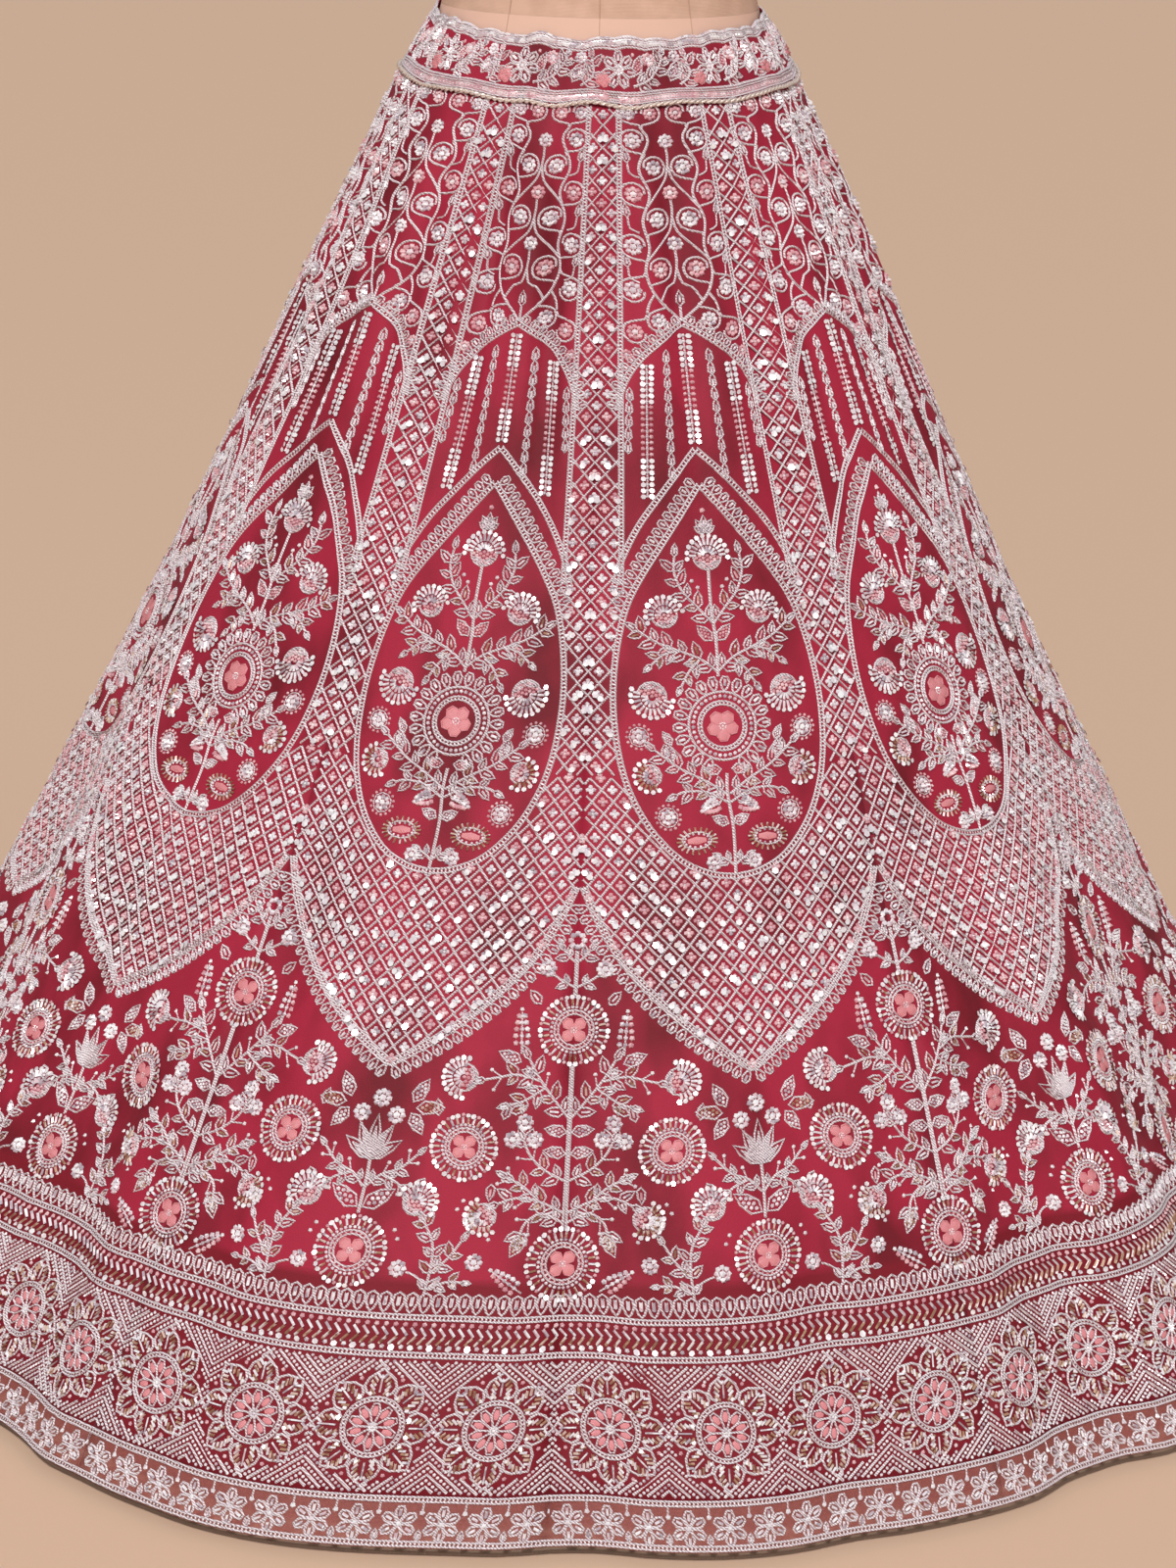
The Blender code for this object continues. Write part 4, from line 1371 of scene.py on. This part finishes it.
bead_leaf(seam_work, (27, 821), 60, 19, 9.6, "bugle")
berries(seam_work, (27, 862), -35, 25)
report("the tree on the seam")

# %% [markdown]
# The plants between the trees are lower. Their leaves are broad, some cut out of plain cord and
# some packed with beads, and single leaves and sequins fill the bare places round the medallions.

# %% The plant on the centre line, and the small plants between
medallion(centre_work, (0, 838), 24)
bent_cord(centre_work, [(0, 812), (0.6, 790), (0, 768)], TRUNK_CORD, TRUNK_HEIGHT, 5)
for turn, length in ((-90, 31), (-116, 27), (-64, 27), (-144, 24), (-36, 24)):
    leaf(centre_work, (0, 775), turn, length, 8, "dori")
    leaf(centre_work, (0, 775), turn, length * 0.72, 4, "")
rosette(centre_work, (0, 733), 6.8)
PLANT_STEMS = [
    # points, leaf_length, gap
    ([(1, 794), (10, 785), (22, 780), (32, 770)], 7.8, 8),
    ([(10, 785), (22, 790), (28, 797)], 7.4, 9),
]
branches(side_work, PLANT_STEMS, ("dori", "drop"), 1)
rosette(side_work, (12, 744), 6.4)
bent_cord(side_work, [(1, 764), (8, 757), (11, 751)], 1.5)
bead_leaves(side_work, [
    # place, turn, length, width, finish
    ((2, 808), -35, 24, 11.5, "bead"), ((22, 734), -64, 18, 9.6, "bead"),
    ((25, 738), -4, 19, 9.6, "bugle"), ((22, 742), 54, 17, 9, "bead"),
])
SMALL_PLANT = [
    # points, leaf_length, gap
    ([(55, 866), (56, 846), (54, 830), (46, 816)], 9.2, 10),
    ([(56, 850), (66, 840), (73, 828)], 8.8, 9.6),
    ([(56, 861), (68, 856), (78, 856)], 7, 9),
]
branches(side_work, SMALL_PLANT, ("bead", "bugle", "dori"), 1)
cup_flower(side_work, (38, 802), -62, 13)
rosette(side_work, (77, 813), 6.2)
rosette(side_work, (34, 848), 6.2)
bent_cord(side_work, [(55, 858), (46, 852), (40, 850)], 1.6)
rosette(side_work, (84, 842), 6.2)
SINGLE_LEAVES = [
    # place, turn, fill
    ((86, 743), -78, "bead"), ((90, 738), -22, "bugle"), ((91, 781), 24, "bead"),
    ((86, 788), 88, "rose"), ((41, 742), -104, "bugle"), ((40, 786), 118, "bead"),
]
for place, turn, fill in SINGLE_LEAVES:
    leaf(side_work, place, turn, 11.5, 6.2, fill)
beads(side_work, [(66, 806), (69, 800), (91, 826), (30, 828), (27, 822)], 1.6, "sequin")
report("the plants")

# %% [markdown]
# The borders run round the whole hem: a row of upright looped petals, a dark herringbone of
# bugles and beads, the great rosettes with chevrons between them, and flowers on the bare net.
# Each is spaced by dividing the gore's width at its own depth, so it meets the next gore evenly.

# %% Straight rows across a gore
def level_path(down):
    return smooth_path([(0, down), (float(half_panel(down)), down)], 7)


def spread_across(down, spacing):
    """Even places from the centre line to the seam, half a space in from both."""
    reach = float(half_panel(down))
    count = max(1, round(reach / spacing))
    return (np.arange(count) + 0.5) * reach / count


for down in (BRAID_ONE, BRAID_TWO, BRAID_THREE, HEM_BRAID):
    ladder(side_work, level_path(down), 4.6)
for across in spread_across(LOOP_ROW, 8.8):
    petal(side_work, (across, LOOP_ROW - 0.5), -90, 13.6, 8.6, 1.7, "bead", 8)
herring = spread_across(HERRING_ROW, 6.2)
herring = np.concatenate([-herring[::-1], herring])
row = np.stack([herring, 0 * herring + HERRING_ROW], axis=1)
bugles(row_work, row + [0, -3], 50, 7, 2, "bead")
bugles(row_work, row + [0, 3], -50, 7, 2, "bugle")
beads(row_work, row + [0, -7.6], 1.9, "rose")
sequins(row_work, row[::2] + [0, 7.8], 2.3)
beads(row_work, row[1::2] + [0, 7.8], 1.8, "bead")
report("the straight rows")

# %% [markdown]
# The great rosettes stand two to half a gore. Each has ten looped petals with pink silk in a ring of
# braid, and eight broad petals packed with slanting bugles round it. Nested chevrons of cord and
# beads fill the spaces between them from above and below, and stop short of the petals.

# %% Great rosettes and chevrons
# The half outline of a broad petal, as shares of its length and width
BROAD_PETAL = [
    # along, across
    (0, 0.24), (0.10, 0.40), (0.34, 0.50), (0.62, 0.40), (0.84, 0.16), (1, 0),
]

# Pairs of slanting bugles in a broad petal, as shares of its length and width
PETAL_BUGLES = [
    # along, across, finish
    (0.14, 0.22, "bugle"), (0.30, 0.25, "bead"), (0.46, 0.24, "bugle"), (0.62, 0.19, "bugle"),
    (0.76, 0.12, "bead"),
]

ROSETTE_HEART, ROSETTE_BRAID, ROSETTE_PETALS, ROSETTE_BEADS = 3.4, 19.2, 21.4, 35
CHEVRONS, CHEVRON_SPACING, CHEVRON_SLOPE = 10, 4.7, 0.86
CHEVRON_CLEARS_ROSETTE, CHEVRON_CLEARS_MIDDLE = 37.5, 1.6


def broad_petal(panel, place, turn, length, width):
    """A pointed petal with a vein and slanting bugles, gold outside and silver by the vein."""
    half = np.array(BROAD_PETAL)
    whole = np.vstack([half, half[-2::-1] * [1, -1]])
    cord(panel, along_turn(place, turn, whole[:, 0] * length, whole[:, 1] * width), 1.9, 1.1)
    bugles(panel, [along_turn(place, turn, length * 0.46, 0)], turn, length * 0.66, 1.3, "bead")
    for along, reach, fill in PETAL_BUGLES:
        for lean in (1, -1):
            spot = along_turn(place, turn, length * along, lean * reach * width)
            bugles(panel, [spot], turn + 42 * lean, 5, 1.9, fill)
    sequins(panel, along_turn(place, turn, [length * 0.10] * 2, [width * 0.26, -width * 0.26]), 1.5)


def great_rosette(panel, heart):
    """Ten looped petals with pink hearts in a braid ring, and eight broad petals round it."""
    for place, turn in zip(*ring_places(heart, 2.2, 10, 18, 378)):
        petal(panel, place, turn, 14.4, 6.6, 1.4, "silk")
    rosette(panel, heart, ROSETTE_HEART, "sequin")
    ladder(panel, arc_path(heart, ROSETTE_BRAID, step=4.4), 4, closed=True)
    for place, turn in zip(*ring_places(heart, ROSETTE_PETALS, 8)):
        broad_petal(panel, place, turn, 18.4, 21)
    beads(panel, ring_places(heart, ROSETTE_BEADS, 8, 22.5, 382.5)[0], 1.6, "rose")


def chevrons(panel, middle, hearts, limit):
    """Nested V lines between two rosettes, in cord and beads by turns, above and below."""
    top, foot = BRAID_TWO + 4.6, BRAID_THREE - 4.6
    for edge, way in ((top, 1), (foot, -1)):
        for number in range(1, CHEVRONS + 1):
            reach = CHEVRON_SPACING * number
            across = np.arange(-reach, reach + 0.1, CHEVRON_SPACING / 2)
            down = edge + way * (reach - np.abs(across)) * CHEVRON_SLOPE
            spots = np.stack([middle + across, down], axis=1)
            clear = (spots[:, 0] > -0.1) & (spots[:, 0] < limit + 0.1)
            clear &= np.abs(down - (top + foot) / 2) > CHEVRON_CLEARS_MIDDLE
            for heart in hearts:
                away = np.hypot(spots[:, 0] - heart, spots[:, 1] - ROSETTE_ROW)
                clear &= away > CHEVRON_CLEARS_ROSETTE
            spots[:, 0] *= half_panel(down) / half_panel(ROSETTE_ROW)
            for run in split_runs(clear):
                if number % 2 == 0:
                    beads(panel, spots[run], 1.3, "bead" if number % 4 else "sequin")
                else:
                    corner = run[np.argmin(np.abs(across[run]))]
                    picked = sorted({run[0], corner, run[-1]})
                    cord(panel, spots[picked], 2.1, 1.1)


rosette_space = float(half_panel(ROSETTE_ROW)) / 2
rosette_hearts = [rosette_space * 0.5, rosette_space * 1.5]
for heart in rosette_hearts:
    great_rosette(side_work, (heart, ROSETTE_ROW))
all_hearts = [-rosette_hearts[0], *rosette_hearts, rosette_space * 2.5]
for middle in (0, rosette_space, rosette_space * 2):
    chevrons(side_work, middle, all_hearts, rosette_space * 2)
report("the great rosettes")

# %% [markdown]
# The bare net carries only small flowers of six looped petals. Between them a drop hangs from the
# braid above and a leaf stands on the braid below, so the net still shows.

# %% Flowers and drops on the bare net
net_flowers = spread_across(NET_FLOWERS, 26)
for across in net_flowers:
    for place, turn in zip(*ring_places((across, NET_FLOWERS), 1.8, 6, 30, 390)):
        petal(side_work, place, turn, 10.4, 6.8, 1.8, "bead", 7)
    beads(side_work, [(across, NET_FLOWERS)], 2, "sequin")
net_space = net_flowers[1] - net_flowers[0]
for across in np.concatenate([net_flowers - 0.5 * net_space, net_flowers[-1:] + 0.5 * net_space]):
    if across > -0.1:
        cord(side_work, [(across, BRAID_THREE + 2), (across, BRAID_THREE + 7.5)], 1.4, 0.9)
        beads(side_work, [(across, BRAID_THREE + 9)], 2, "sequin")
    if 0.1 < across < half_panel(NET_FLOWERS) - 0.1:
        leaf(side_work, (across, HEM_BRAID - 2.4), -90, 7, 4)
report("the net's flowers")

# %% [markdown]
# Now the flat work is laid on the cloth. Each gore takes the centre work and the row work once, and
# the side work and the seam work twice, the second time mirrored. Every point is carried to the
# curved cloth and lifted off it by its height. Pieces stay apart by finish, one material each.

# %% Places on the cloth
WORK_LIFT = 0.15                               # in millimetres, so that no work sinks into the cloth
SEAM_OVERLAP = 1.004                           # how far work may pass a seam, as a share
CLOTH_ROWS = np.concatenate([np.linspace(0, NET_DROP, KALI_ROWS + 1),
                             np.linspace(NET_DROP, 1, NET_ROWS + 1)[1:]])


def cloth_corners(kali, out):
    """The corner points of a gore's cloth, row by row, moved outwards."""
    across, drop = np.meshgrid(np.linspace(-1, 1, KALI_COLUMNS + 1), CLOTH_ROWS)
    return skirt_place(kali_angle(kali, across, drop), drop, out)


def lay_on_cloth(kali, share, drop, lift):
    """Points between the cloth's own corners, so the work lies on the cloth and never under it."""
    corners = cloth_corners(kali, 0)
    away = (cloth_corners(kali, 0.001) - corners) * 1000
    column = (share + 1) / 2 * KALI_COLUMNS
    left = np.clip(np.floor(column), 0, KALI_COLUMNS - 1).astype(int)
    above = np.clip(np.searchsorted(CLOTH_ROWS, drop) - 1, 0, len(CLOTH_ROWS) - 2)
    over = (column - left)[:, None]
    under = ((drop - CLOTH_ROWS[above]) / (CLOTH_ROWS[above + 1] - CLOTH_ROWS[above]))[:, None]

    def between(grid):
        upper = grid[above, left] * (1 - over) + grid[above, left + 1] * over
        lower = grid[above + 1, left] * (1 - over) + grid[above + 1, left + 1] * over
        return upper * (1 - under) + lower * under

    return between(corners) + lift[:, None] * between(away)


# %% Lay the work on the gores
def gather(finish):
    """All points and triangles of one gore in one finish."""
    points, corners, total = [], [], 0
    for panel, from_seam, mirrored in ((centre_work, False, False), (row_work, False, False),
                                       (side_work, False, False), (side_work, False, True),
                                       (seam_work, True, False), (seam_work, True, True)):
        if not panel.points[finish]:
            continue
        flat = np.concatenate(panel.points[finish])
        turned = np.concatenate(panel.corners[finish])
        if from_seam:
            flat = np.column_stack([half_panel(flat[:, 1]) - flat[:, 0], flat[:, 1:]])
        if mirrored:
            flat = flat * [-1, 1, 1]
        if from_seam == mirrored:
            turned = turned[:, ::-1]
        points.append(flat)
        corners.append(turned + total)
        total += len(flat)
    return np.concatenate(points), np.concatenate(corners)


def new_piece(name, points, corners, material, smooth, node=""):
    """A joined mesh of small stitches as one piece of the garment."""
    data = bpy.data.meshes.new(name)
    data.from_pydata(points.tolist(), [], corners.tolist())
    data.materials.append(material)
    if smooth:
        data.shade_smooth()
    piece = add_object(name, data)
    dress(piece, node)
    return piece


work_triangles = 0
for finish in finishes:
    flat, corners = gather(finish)
    drop = flat[:, 1] / SKIRT_LENGTH
    share = np.clip(flat[:, 0] / half_panel(flat[:, 1]), -SEAM_OVERLAP, SEAM_OVERLAP)
    for kali in range(KALIS):
        points = lay_on_cloth(kali, share, drop, (flat[:, 2] + WORK_LIFT) / 1000)
        new_piece(f"{finish}_work_{kali + 1:02d}", points, corners, finishes[finish],
                  finish in SMOOTH_FINISHES)
    work_triangles += len(corners) * KALIS
    print(finish, "on a gore:", len(corners), "triangles")
print("all the work has", work_triangles, "triangles")

# %% [markdown]
# The band's work repeats twelve times round: a looped flower, two leafy branches, beaded leaves and
# rosettes. It is stitched flat in the same way, and the trims get their cords and beads with it.

# %% Work on the waistband
def stitch_repeat(panel, start):
    """One repeat of the band's flowers, from its left end."""
    flower = (start + 14, 20.5)
    for place, turn in zip(*ring_places(flower, 2.6, 7, 12, 372)):
        petal(panel, place, turn, 9.6, 6.2, 1.7)
    rosette(panel, flower, 4, "sequin")
    long_stem = [(start + 24, 31), (start + 36, 27), (start + 45, 17), (start + 47, 11.5)]
    short_stem = [(start + 58, 32), (start + 66, 25), (start + 65, 13)]
    branch(panel, long_stem, 8.6, 6.6, 4, ("bead", "dori"))
    branch(panel, short_stem, 8, 6.4, 3, ("rose", "dori"))
    bead_leaves(panel, [
        # place, turn, length, width, finish
        ((start + 31, 12), 24, 12, 6.8, "bead"), ((start + 60, 22), 168, 12, 6.8, "bead"),
        ((start + 52, 29), -62, 16, 8.6, "bead"), ((start + 26, 24), -72, 13, 7, "rose"),
    ])
    rosette(panel, (start + 36, 14), 5, "rose")
    rosette(panel, (start + 57, 12), 4.6, "bead")
    silk_flower(panel, (start + 73, 27), 5, 5)
    for across, down in ((3, 12), (25, 11), (41, 31), (30, 19), (50, 13)):
        beads(panel, [(start + across, down)], 1.5, "rose")


band_panel = Panel()
for repeat in range(BAND_REPEATS):
    stitch_repeat(band_panel, (repeat - BAND_REPEATS / 2) * BAND_REPEAT)

half_round = BAND_REPEATS / 2 * BAND_REPEAT
round_line = np.arange(-half_round, half_round + 1, 3.5)
lace_top = np.stack([round_line, -scallop(round_line) + 1.4], axis=1)
cord(band_panel, lace_top, 1.8, 1.9)
ladder(band_panel, lace_top + [0, 3], 4.2)
cord(band_panel, lace_top + [0, 6.2], 1.6, 1)
beads(band_panel, lace_top + [0, 3], 1.2)
flat_line = np.stack([round_line[::2], 0 * round_line[::2]], axis=1)
for down, width in ((34.9, 1.7), (36.5, 1.5), (41.6, 1.7), (43.3, 1.7)):
    cord(band_panel, flat_line + [0, down], width, 1.9)
ladder(band_panel, flat_line + [0, 39.1], 3.6)
beads(band_panel, np.stack([round_line, 0 * round_line + 39.1], axis=1), 1.1, "bead")

for finish in finishes:
    if band_panel.points[finish]:
        flat = np.concatenate(band_panel.points[finish])
        corners = np.concatenate(band_panel.corners[finish])
        points = band_work_place(flat[:, 0], flat[:, 1], flat[:, 2])
        new_piece(f"{finish}_work_waistband", points, corners, finishes[finish],
                  finish in SMOOTH_FINISHES)
        print(finish, "on the waistband:", len(corners), "triangles")

# %% [markdown]
# The piping is two round strands twisted about each other. Each is a ring of five-sided sections
# whose middles wind round the piping's line, half a turn apart.

# %% The twisted piping at the band's foot
PIPING_TURNS, PIPING_SIDES, PIPING_STEPS = 92, 5, 552


def piping_strand(start):
    """Points and triangles of one strand, wound round the piping's line."""
    angle = np.linspace(-180.0, 180.0, PIPING_STEPS, endpoint=False)
    line = skirt_place(angle, 0.0 * angle, PIPING_RADIUS + 0.0010)
    line[:, 2] += trim_wave(angle) - 0.0006
    away, up = level_away(line), np.array([0.0, 0.0, 1.0])
    wind = np.radians(angle * PIPING_TURNS) + start
    heart = line + PIPING_RADIUS * 0.46 * (np.cos(wind)[:, None] * away + np.sin(wind)[:, None] * up)
    share = np.linspace(0.0, 2.0 * pi, PIPING_SIDES, endpoint=False)
    points = (heart[:, None] + PIPING_RADIUS * 0.60 * (np.cos(share)[None, :, None] * away[:, None]
                                                       + np.sin(share)[None, :, None] * up))
    row = np.arange(PIPING_STEPS)[:, None] * PIPING_SIDES
    column = np.arange(PIPING_SIDES)[None, :]
    after_row = (row + PIPING_SIDES) % (PIPING_STEPS * PIPING_SIDES)
    after_column = (column + 1) % PIPING_SIDES
    quads = np.stack([row + column, after_row + column, after_row + after_column, row + after_column],
                     axis=-1).reshape(-1, 4)
    return points.reshape(-1, 3), np.concatenate([quads[:, [0, 1, 2]], quads[:, [0, 2, 3]]])


gold_cord = make_thread("metallic_cord_twist", (0.86, 0.76, 0.70), (0.60, 0.47, 0.40), 0.32, 0.25, 300.0)
for number, start in enumerate((0.0, pi), start=1):
    points, corners = piping_strand(start)
    new_piece(f"piping_strand_{number}", points, corners, gold_cord, True,
              "waist_piping")
    print("piping strand", number, "has", len(corners), "triangles")

# %% [markdown]
# The dress form is covered in linen, cut in panels with seams down the middle, over the sides and
# through the bust, and taped round the waist. Under it are a turned neck cap, a pole and a base.

# %% Dress form
def make_linen():
    """Plain linen with slubs and a fine level weave."""
    material, shader = new_material("form_linen", (0.64, 0.41, 0.30), 0.85)
    slub = object_texture(material, "ShaderNodeTexNoise", Scale=60.0, Detail=4.0)
    colour_by(material, shader, slub.outputs["Fac"],
              [(0.35, (0.60, 0.38, 0.275)), (0.65, (0.68, 0.44, 0.325))])
    weave = object_texture(material, "ShaderNodeTexWave", Scale=340.0, Distortion=1.5)
    weave.bands_direction = "Z"
    bump_by(material, shader, weave.outputs["Fac"], 0.25, 0.0004)
    return material


FORM_TOP, FORM_FOOT = float(FORM[-1, 0]), float(FORM[0, 0])
PANEL_SEAMS = (0.0, 34.0, 90.0, 146.0, 180.0, -146.0, -90.0, -34.0)
TAPE_LOW, TAPE_HIGH, TAPE_STANDS_OFF = 0.950, 0.976, 0.0004
SEAM_TOP, SEAM_FOOT, SEAM_RADIUS = 1.425, 0.845, 0.0004
COVER_CLOSES = 0.04                            # the share of the cover that closes each end


def form_cover(across, down):
    """The torso's skin, closed to a point at the middle of its top and its foot."""
    angle = 360.0 * (1.0 - across)
    share = np.clip((down - COVER_CLOSES) / (1.0 - 2.0 * COVER_CLOSES), 0.0, 1.0)
    height = FORM_TOP + (FORM_FOOT - FORM_TOP) * share
    closing = np.minimum(np.minimum(down, 1.0 - down) / COVER_CLOSES, 1.0)
    half_width, half_depth, forward = form_half_sizes(height)
    return ellipse_place(angle, half_width * closing + 1e-6, half_depth * closing + 1e-6, height, 0.0,
                         forward)


def waist_tape(across, down):
    """The paler tape pinned round the form's waist, that shows over the waistband."""
    height = TAPE_HIGH + (TAPE_LOW - TAPE_HIGH) * down
    half_width, half_depth, forward = form_half_sizes(height)
    angle = 360.0 * (across - 0.5)
    return ellipse_place(angle, half_width, half_depth, height, TAPE_STANDS_OFF, forward)


tape_material = new_material("form_tape", (0.76, 0.495, 0.385), 0.85)[0]
tape = add_sheet("form_waist_tape", 72, 6, waist_tape, tape_material)
dress(tape)
torso = add_sheet("form_torso_linen", 72, 100, form_cover, make_linen())
pick(torso)
bpy.ops.object.mode_set(mode="EDIT")
bpy.ops.mesh.select_all(action="SELECT")
bpy.ops.mesh.remove_doubles(threshold=0.00001)
bpy.ops.mesh.normals_make_consistent(inside=False)
bpy.ops.object.mode_set(mode="OBJECT")
dress(torso, "form_torso")
print("the torso's linen has", triangles(torso), "triangles")


def seam_points(angle):
    """Points down the torso along one panel seam, half sunk in the linen."""
    height = np.linspace(SEAM_TOP, SEAM_FOOT, 40)
    half_width, half_depth, forward = form_half_sizes(height)
    out = SEAM_RADIUS / 2.0
    return ellipse_place(0.0 * height + angle, half_width, half_depth, height, out, forward)


def add_tube(name, points, radius, material):
    """A thin round cord through points, as a curve turned into a mesh."""
    curve = bpy.data.curves.new(name, "CURVE")
    curve.dimensions = "3D"
    curve.bevel_depth = radius
    curve.bevel_resolution = 1
    curve.use_fill_caps = True
    spline = curve.splines.new("POLY")
    spline.points.add(len(points) - 1)
    for point, place in zip(spline.points, points):
        point.co = (*place, 1.0)
    pick(add_object(name, curve))
    bpy.ops.object.convert(target="MESH")
    tube = bpy.context.object
    tube.name = name
    tube.data.materials.append(material)
    tube.data.shade_smooth()
    return tube


seam_material = new_material("linen_seam", (0.54, 0.345, 0.255), 0.9)[0]
for number, angle in enumerate(PANEL_SEAMS, start=1):
    seam_cord = add_tube(f"form_seam_{number}", seam_points(angle), SEAM_RADIUS, seam_material)
    dress(seam_cord)

# %% [markdown]
# The neck cap, pole, hub and base are turned on a lathe, so each is a profile spun round an axis.
# Screw does that and closes the seam, and the rims' small bevels are points of the profile.

# %% Stand of the form
steel = new_material("stand_steel_satin", (0.30, 0.30, 0.32), 0.32, 1.0)[0]
wood, wood_shader = new_material("cap_wood_turned", (0.20, 0.085, 0.035), 0.45)
grain = object_texture(wood, "ShaderNodeTexWave", Scale=38.0, Distortion=5.0, Detail=3.0)
colour_by(wood, wood_shader, grain.outputs["Fac"],
          [(0.2, (0.15, 0.06, 0.025)), (0.8, (0.26, 0.12, 0.05))])


def add_turned(name, node, profile, material, segments=96):
    """A turned piece: a profile of (radius, height) spun round with Screw."""
    deselect_all()
    bpy.ops.mesh.primitive_circle_add(vertices=len(profile))
    piece = bpy.context.object
    piece.name = piece.data.name = name
    data = bpy.data.meshes.new(name)
    data.from_pydata([(radius, 0.0, height) for radius, height in profile],
                     [(step, step + 1) for step in range(len(profile) - 1)], [])
    piece.data = data
    piece.location = (0.0, 0.0, 0.0)
    screw = piece.modifiers.new("turn", "SCREW")
    screw.steps = screw.render_steps = segments
    screw.use_merge_vertices = True
    screw.use_normal_calculate = True
    apply_modifiers(piece)
    piece.data.materials.append(material)
    piece.data.shade_smooth()
    piece.data.set_sharp_from_angle(angle=radians(35.0))
    dress(piece, node)
    print(name, "has", triangles(piece), "triangles")


BASE_RADIUS, BASE_HEIGHT, HUB_RADIUS, HUB_HEIGHT, POLE_RADIUS = 0.165, 0.012, 0.026, 0.040, 0.0125
CAP_RADIUS, CAP_HEIGHT, STAND_GAP = 0.050, 0.012, 0.0003
hub_foot = BASE_HEIGHT + STAND_GAP
pole_foot = hub_foot + HUB_HEIGHT + STAND_GAP
cap_foot = FORM_TOP + STAND_GAP
add_turned("form_base_steel", "form_base",
           [(0.0, 0.0), (BASE_RADIUS, 0.0), (BASE_RADIUS, 0.009), (BASE_RADIUS - 0.001, 0.0111),
            (BASE_RADIUS - 0.003, BASE_HEIGHT), (0.0, BASE_HEIGHT)], steel)
add_turned("form_hub_steel", "form_hub",
           [(0.0, hub_foot), (HUB_RADIUS, hub_foot), (HUB_RADIUS, hub_foot + 0.037),
            (HUB_RADIUS - 0.003, hub_foot + HUB_HEIGHT), (0.0, hub_foot + HUB_HEIGHT)], steel)
add_turned("form_pole_steel", "form_pole",
           [(0.0, pole_foot), (POLE_RADIUS, pole_foot), (POLE_RADIUS, FORM_FOOT - STAND_GAP),
            (0.0, FORM_FOOT - STAND_GAP)], steel, 48)
add_turned("form_cap_wood", "form_neck_cap",
           [(0.0, cap_foot), (CAP_RADIUS, cap_foot), (CAP_RADIUS, cap_foot + 0.0085),
            (CAP_RADIUS - 0.001, cap_foot + 0.0108), (CAP_RADIUS - 0.0035, cap_foot + CAP_HEIGHT),
            (0.0, cap_foot + CAP_HEIGHT)], wood)

# %% [markdown]
# The photograph's camera stands three metres in front, a little above the waist, looking down.

# %% Camera
FOCAL_PIXELS, FRAME_HEIGHT = 4045.0, 1600.0
CAMERA_PLACE = (0.0035, -3.0, 1.2915)
LOOKS_DOWN, LEANS = 17.12, 1.24                # in degrees
camera_data = bpy.data.cameras.new("camera")
camera_data.lens = camera_data.sensor_width * FOCAL_PIXELS / FRAME_HEIGHT
camera = add_object("camera", camera_data)
camera.location = CAMERA_PLACE
looking = Matrix.Rotation(radians(90.0 - LOOKS_DOWN), 3, "X") @ Matrix.Rotation(radians(LEANS), 3, "Z")
camera.rotation_euler = looking.to_euler()
bpy.context.scene.camera = camera
print("the camera's lens is", round(camera_data.lens, 1), "mm")

# %% [markdown]
# The studio is one sheet of beige paper under an even sky. A sun from the front gives the beads
# their sparkle, a broad weak one from the right fills the folds, and a soft box lifts the waist.

# %% Stage and lights
deselect_all()
bpy.ops.mesh.primitive_plane_add(size=60.0)
floor = bpy.context.object
floor.name = "studio_floor"
floor.data.materials.append(new_material("beige_paper", (0.735, 0.498, 0.350), 0.9)[0])


def soft_box(name, power, place, size, target):
    """A rectangle of light that faces a target."""
    data = bpy.data.lights.new(name, "AREA")
    data.shape = "RECTANGLE"
    data.size, data.size_y = size
    data.energy = power
    lamp = add_object(name, data)
    lamp.location = place
    way = Vector(place) - Vector(target)
    lamp.rotation_euler = way.to_track_quat("Z", "Y").to_euler()


def soft_sun(name, power, turn, height, spread):
    """A broad far light that comes from a turn round the part and a height, in degrees."""
    data = bpy.data.lights.new(name, "SUN")
    data.energy = power
    data.angle = radians(spread)
    lamp = add_object(name, data)
    lamp.rotation_euler = (radians(90.0 - height), 0.0, radians(turn))


soft_sun("front_sun", power=2.20, turn=-10.0, height=48.0, spread=6.0)
soft_sun("right_sun", power=0.30, turn=48.0, height=30.0, spread=40.0)
soft_box("front_soft", power=12.0, place=(-0.8, -2.9, 2.3), size=(1.6, 1.2), target=(0.0, 0.0, 0.6))
world = bpy.data.worlds.new("studio")
bpy.context.scene.world = world
world.use_nodes = True
sky = world.node_tree.nodes["Background"]
sky.inputs["Color"].default_value = (0.97, 0.98, 1.0, 1.0)
sky.inputs["Strength"].default_value = 0.25
bpy.context.scene.view_settings.view_transform = "Standard"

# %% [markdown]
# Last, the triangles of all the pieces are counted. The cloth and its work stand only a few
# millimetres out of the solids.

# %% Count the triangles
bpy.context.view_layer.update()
everything = sum(triangles(piece) for piece in bpy.data.objects if piece.type == "MESH")
print("all the pieces have", everything, "triangles")
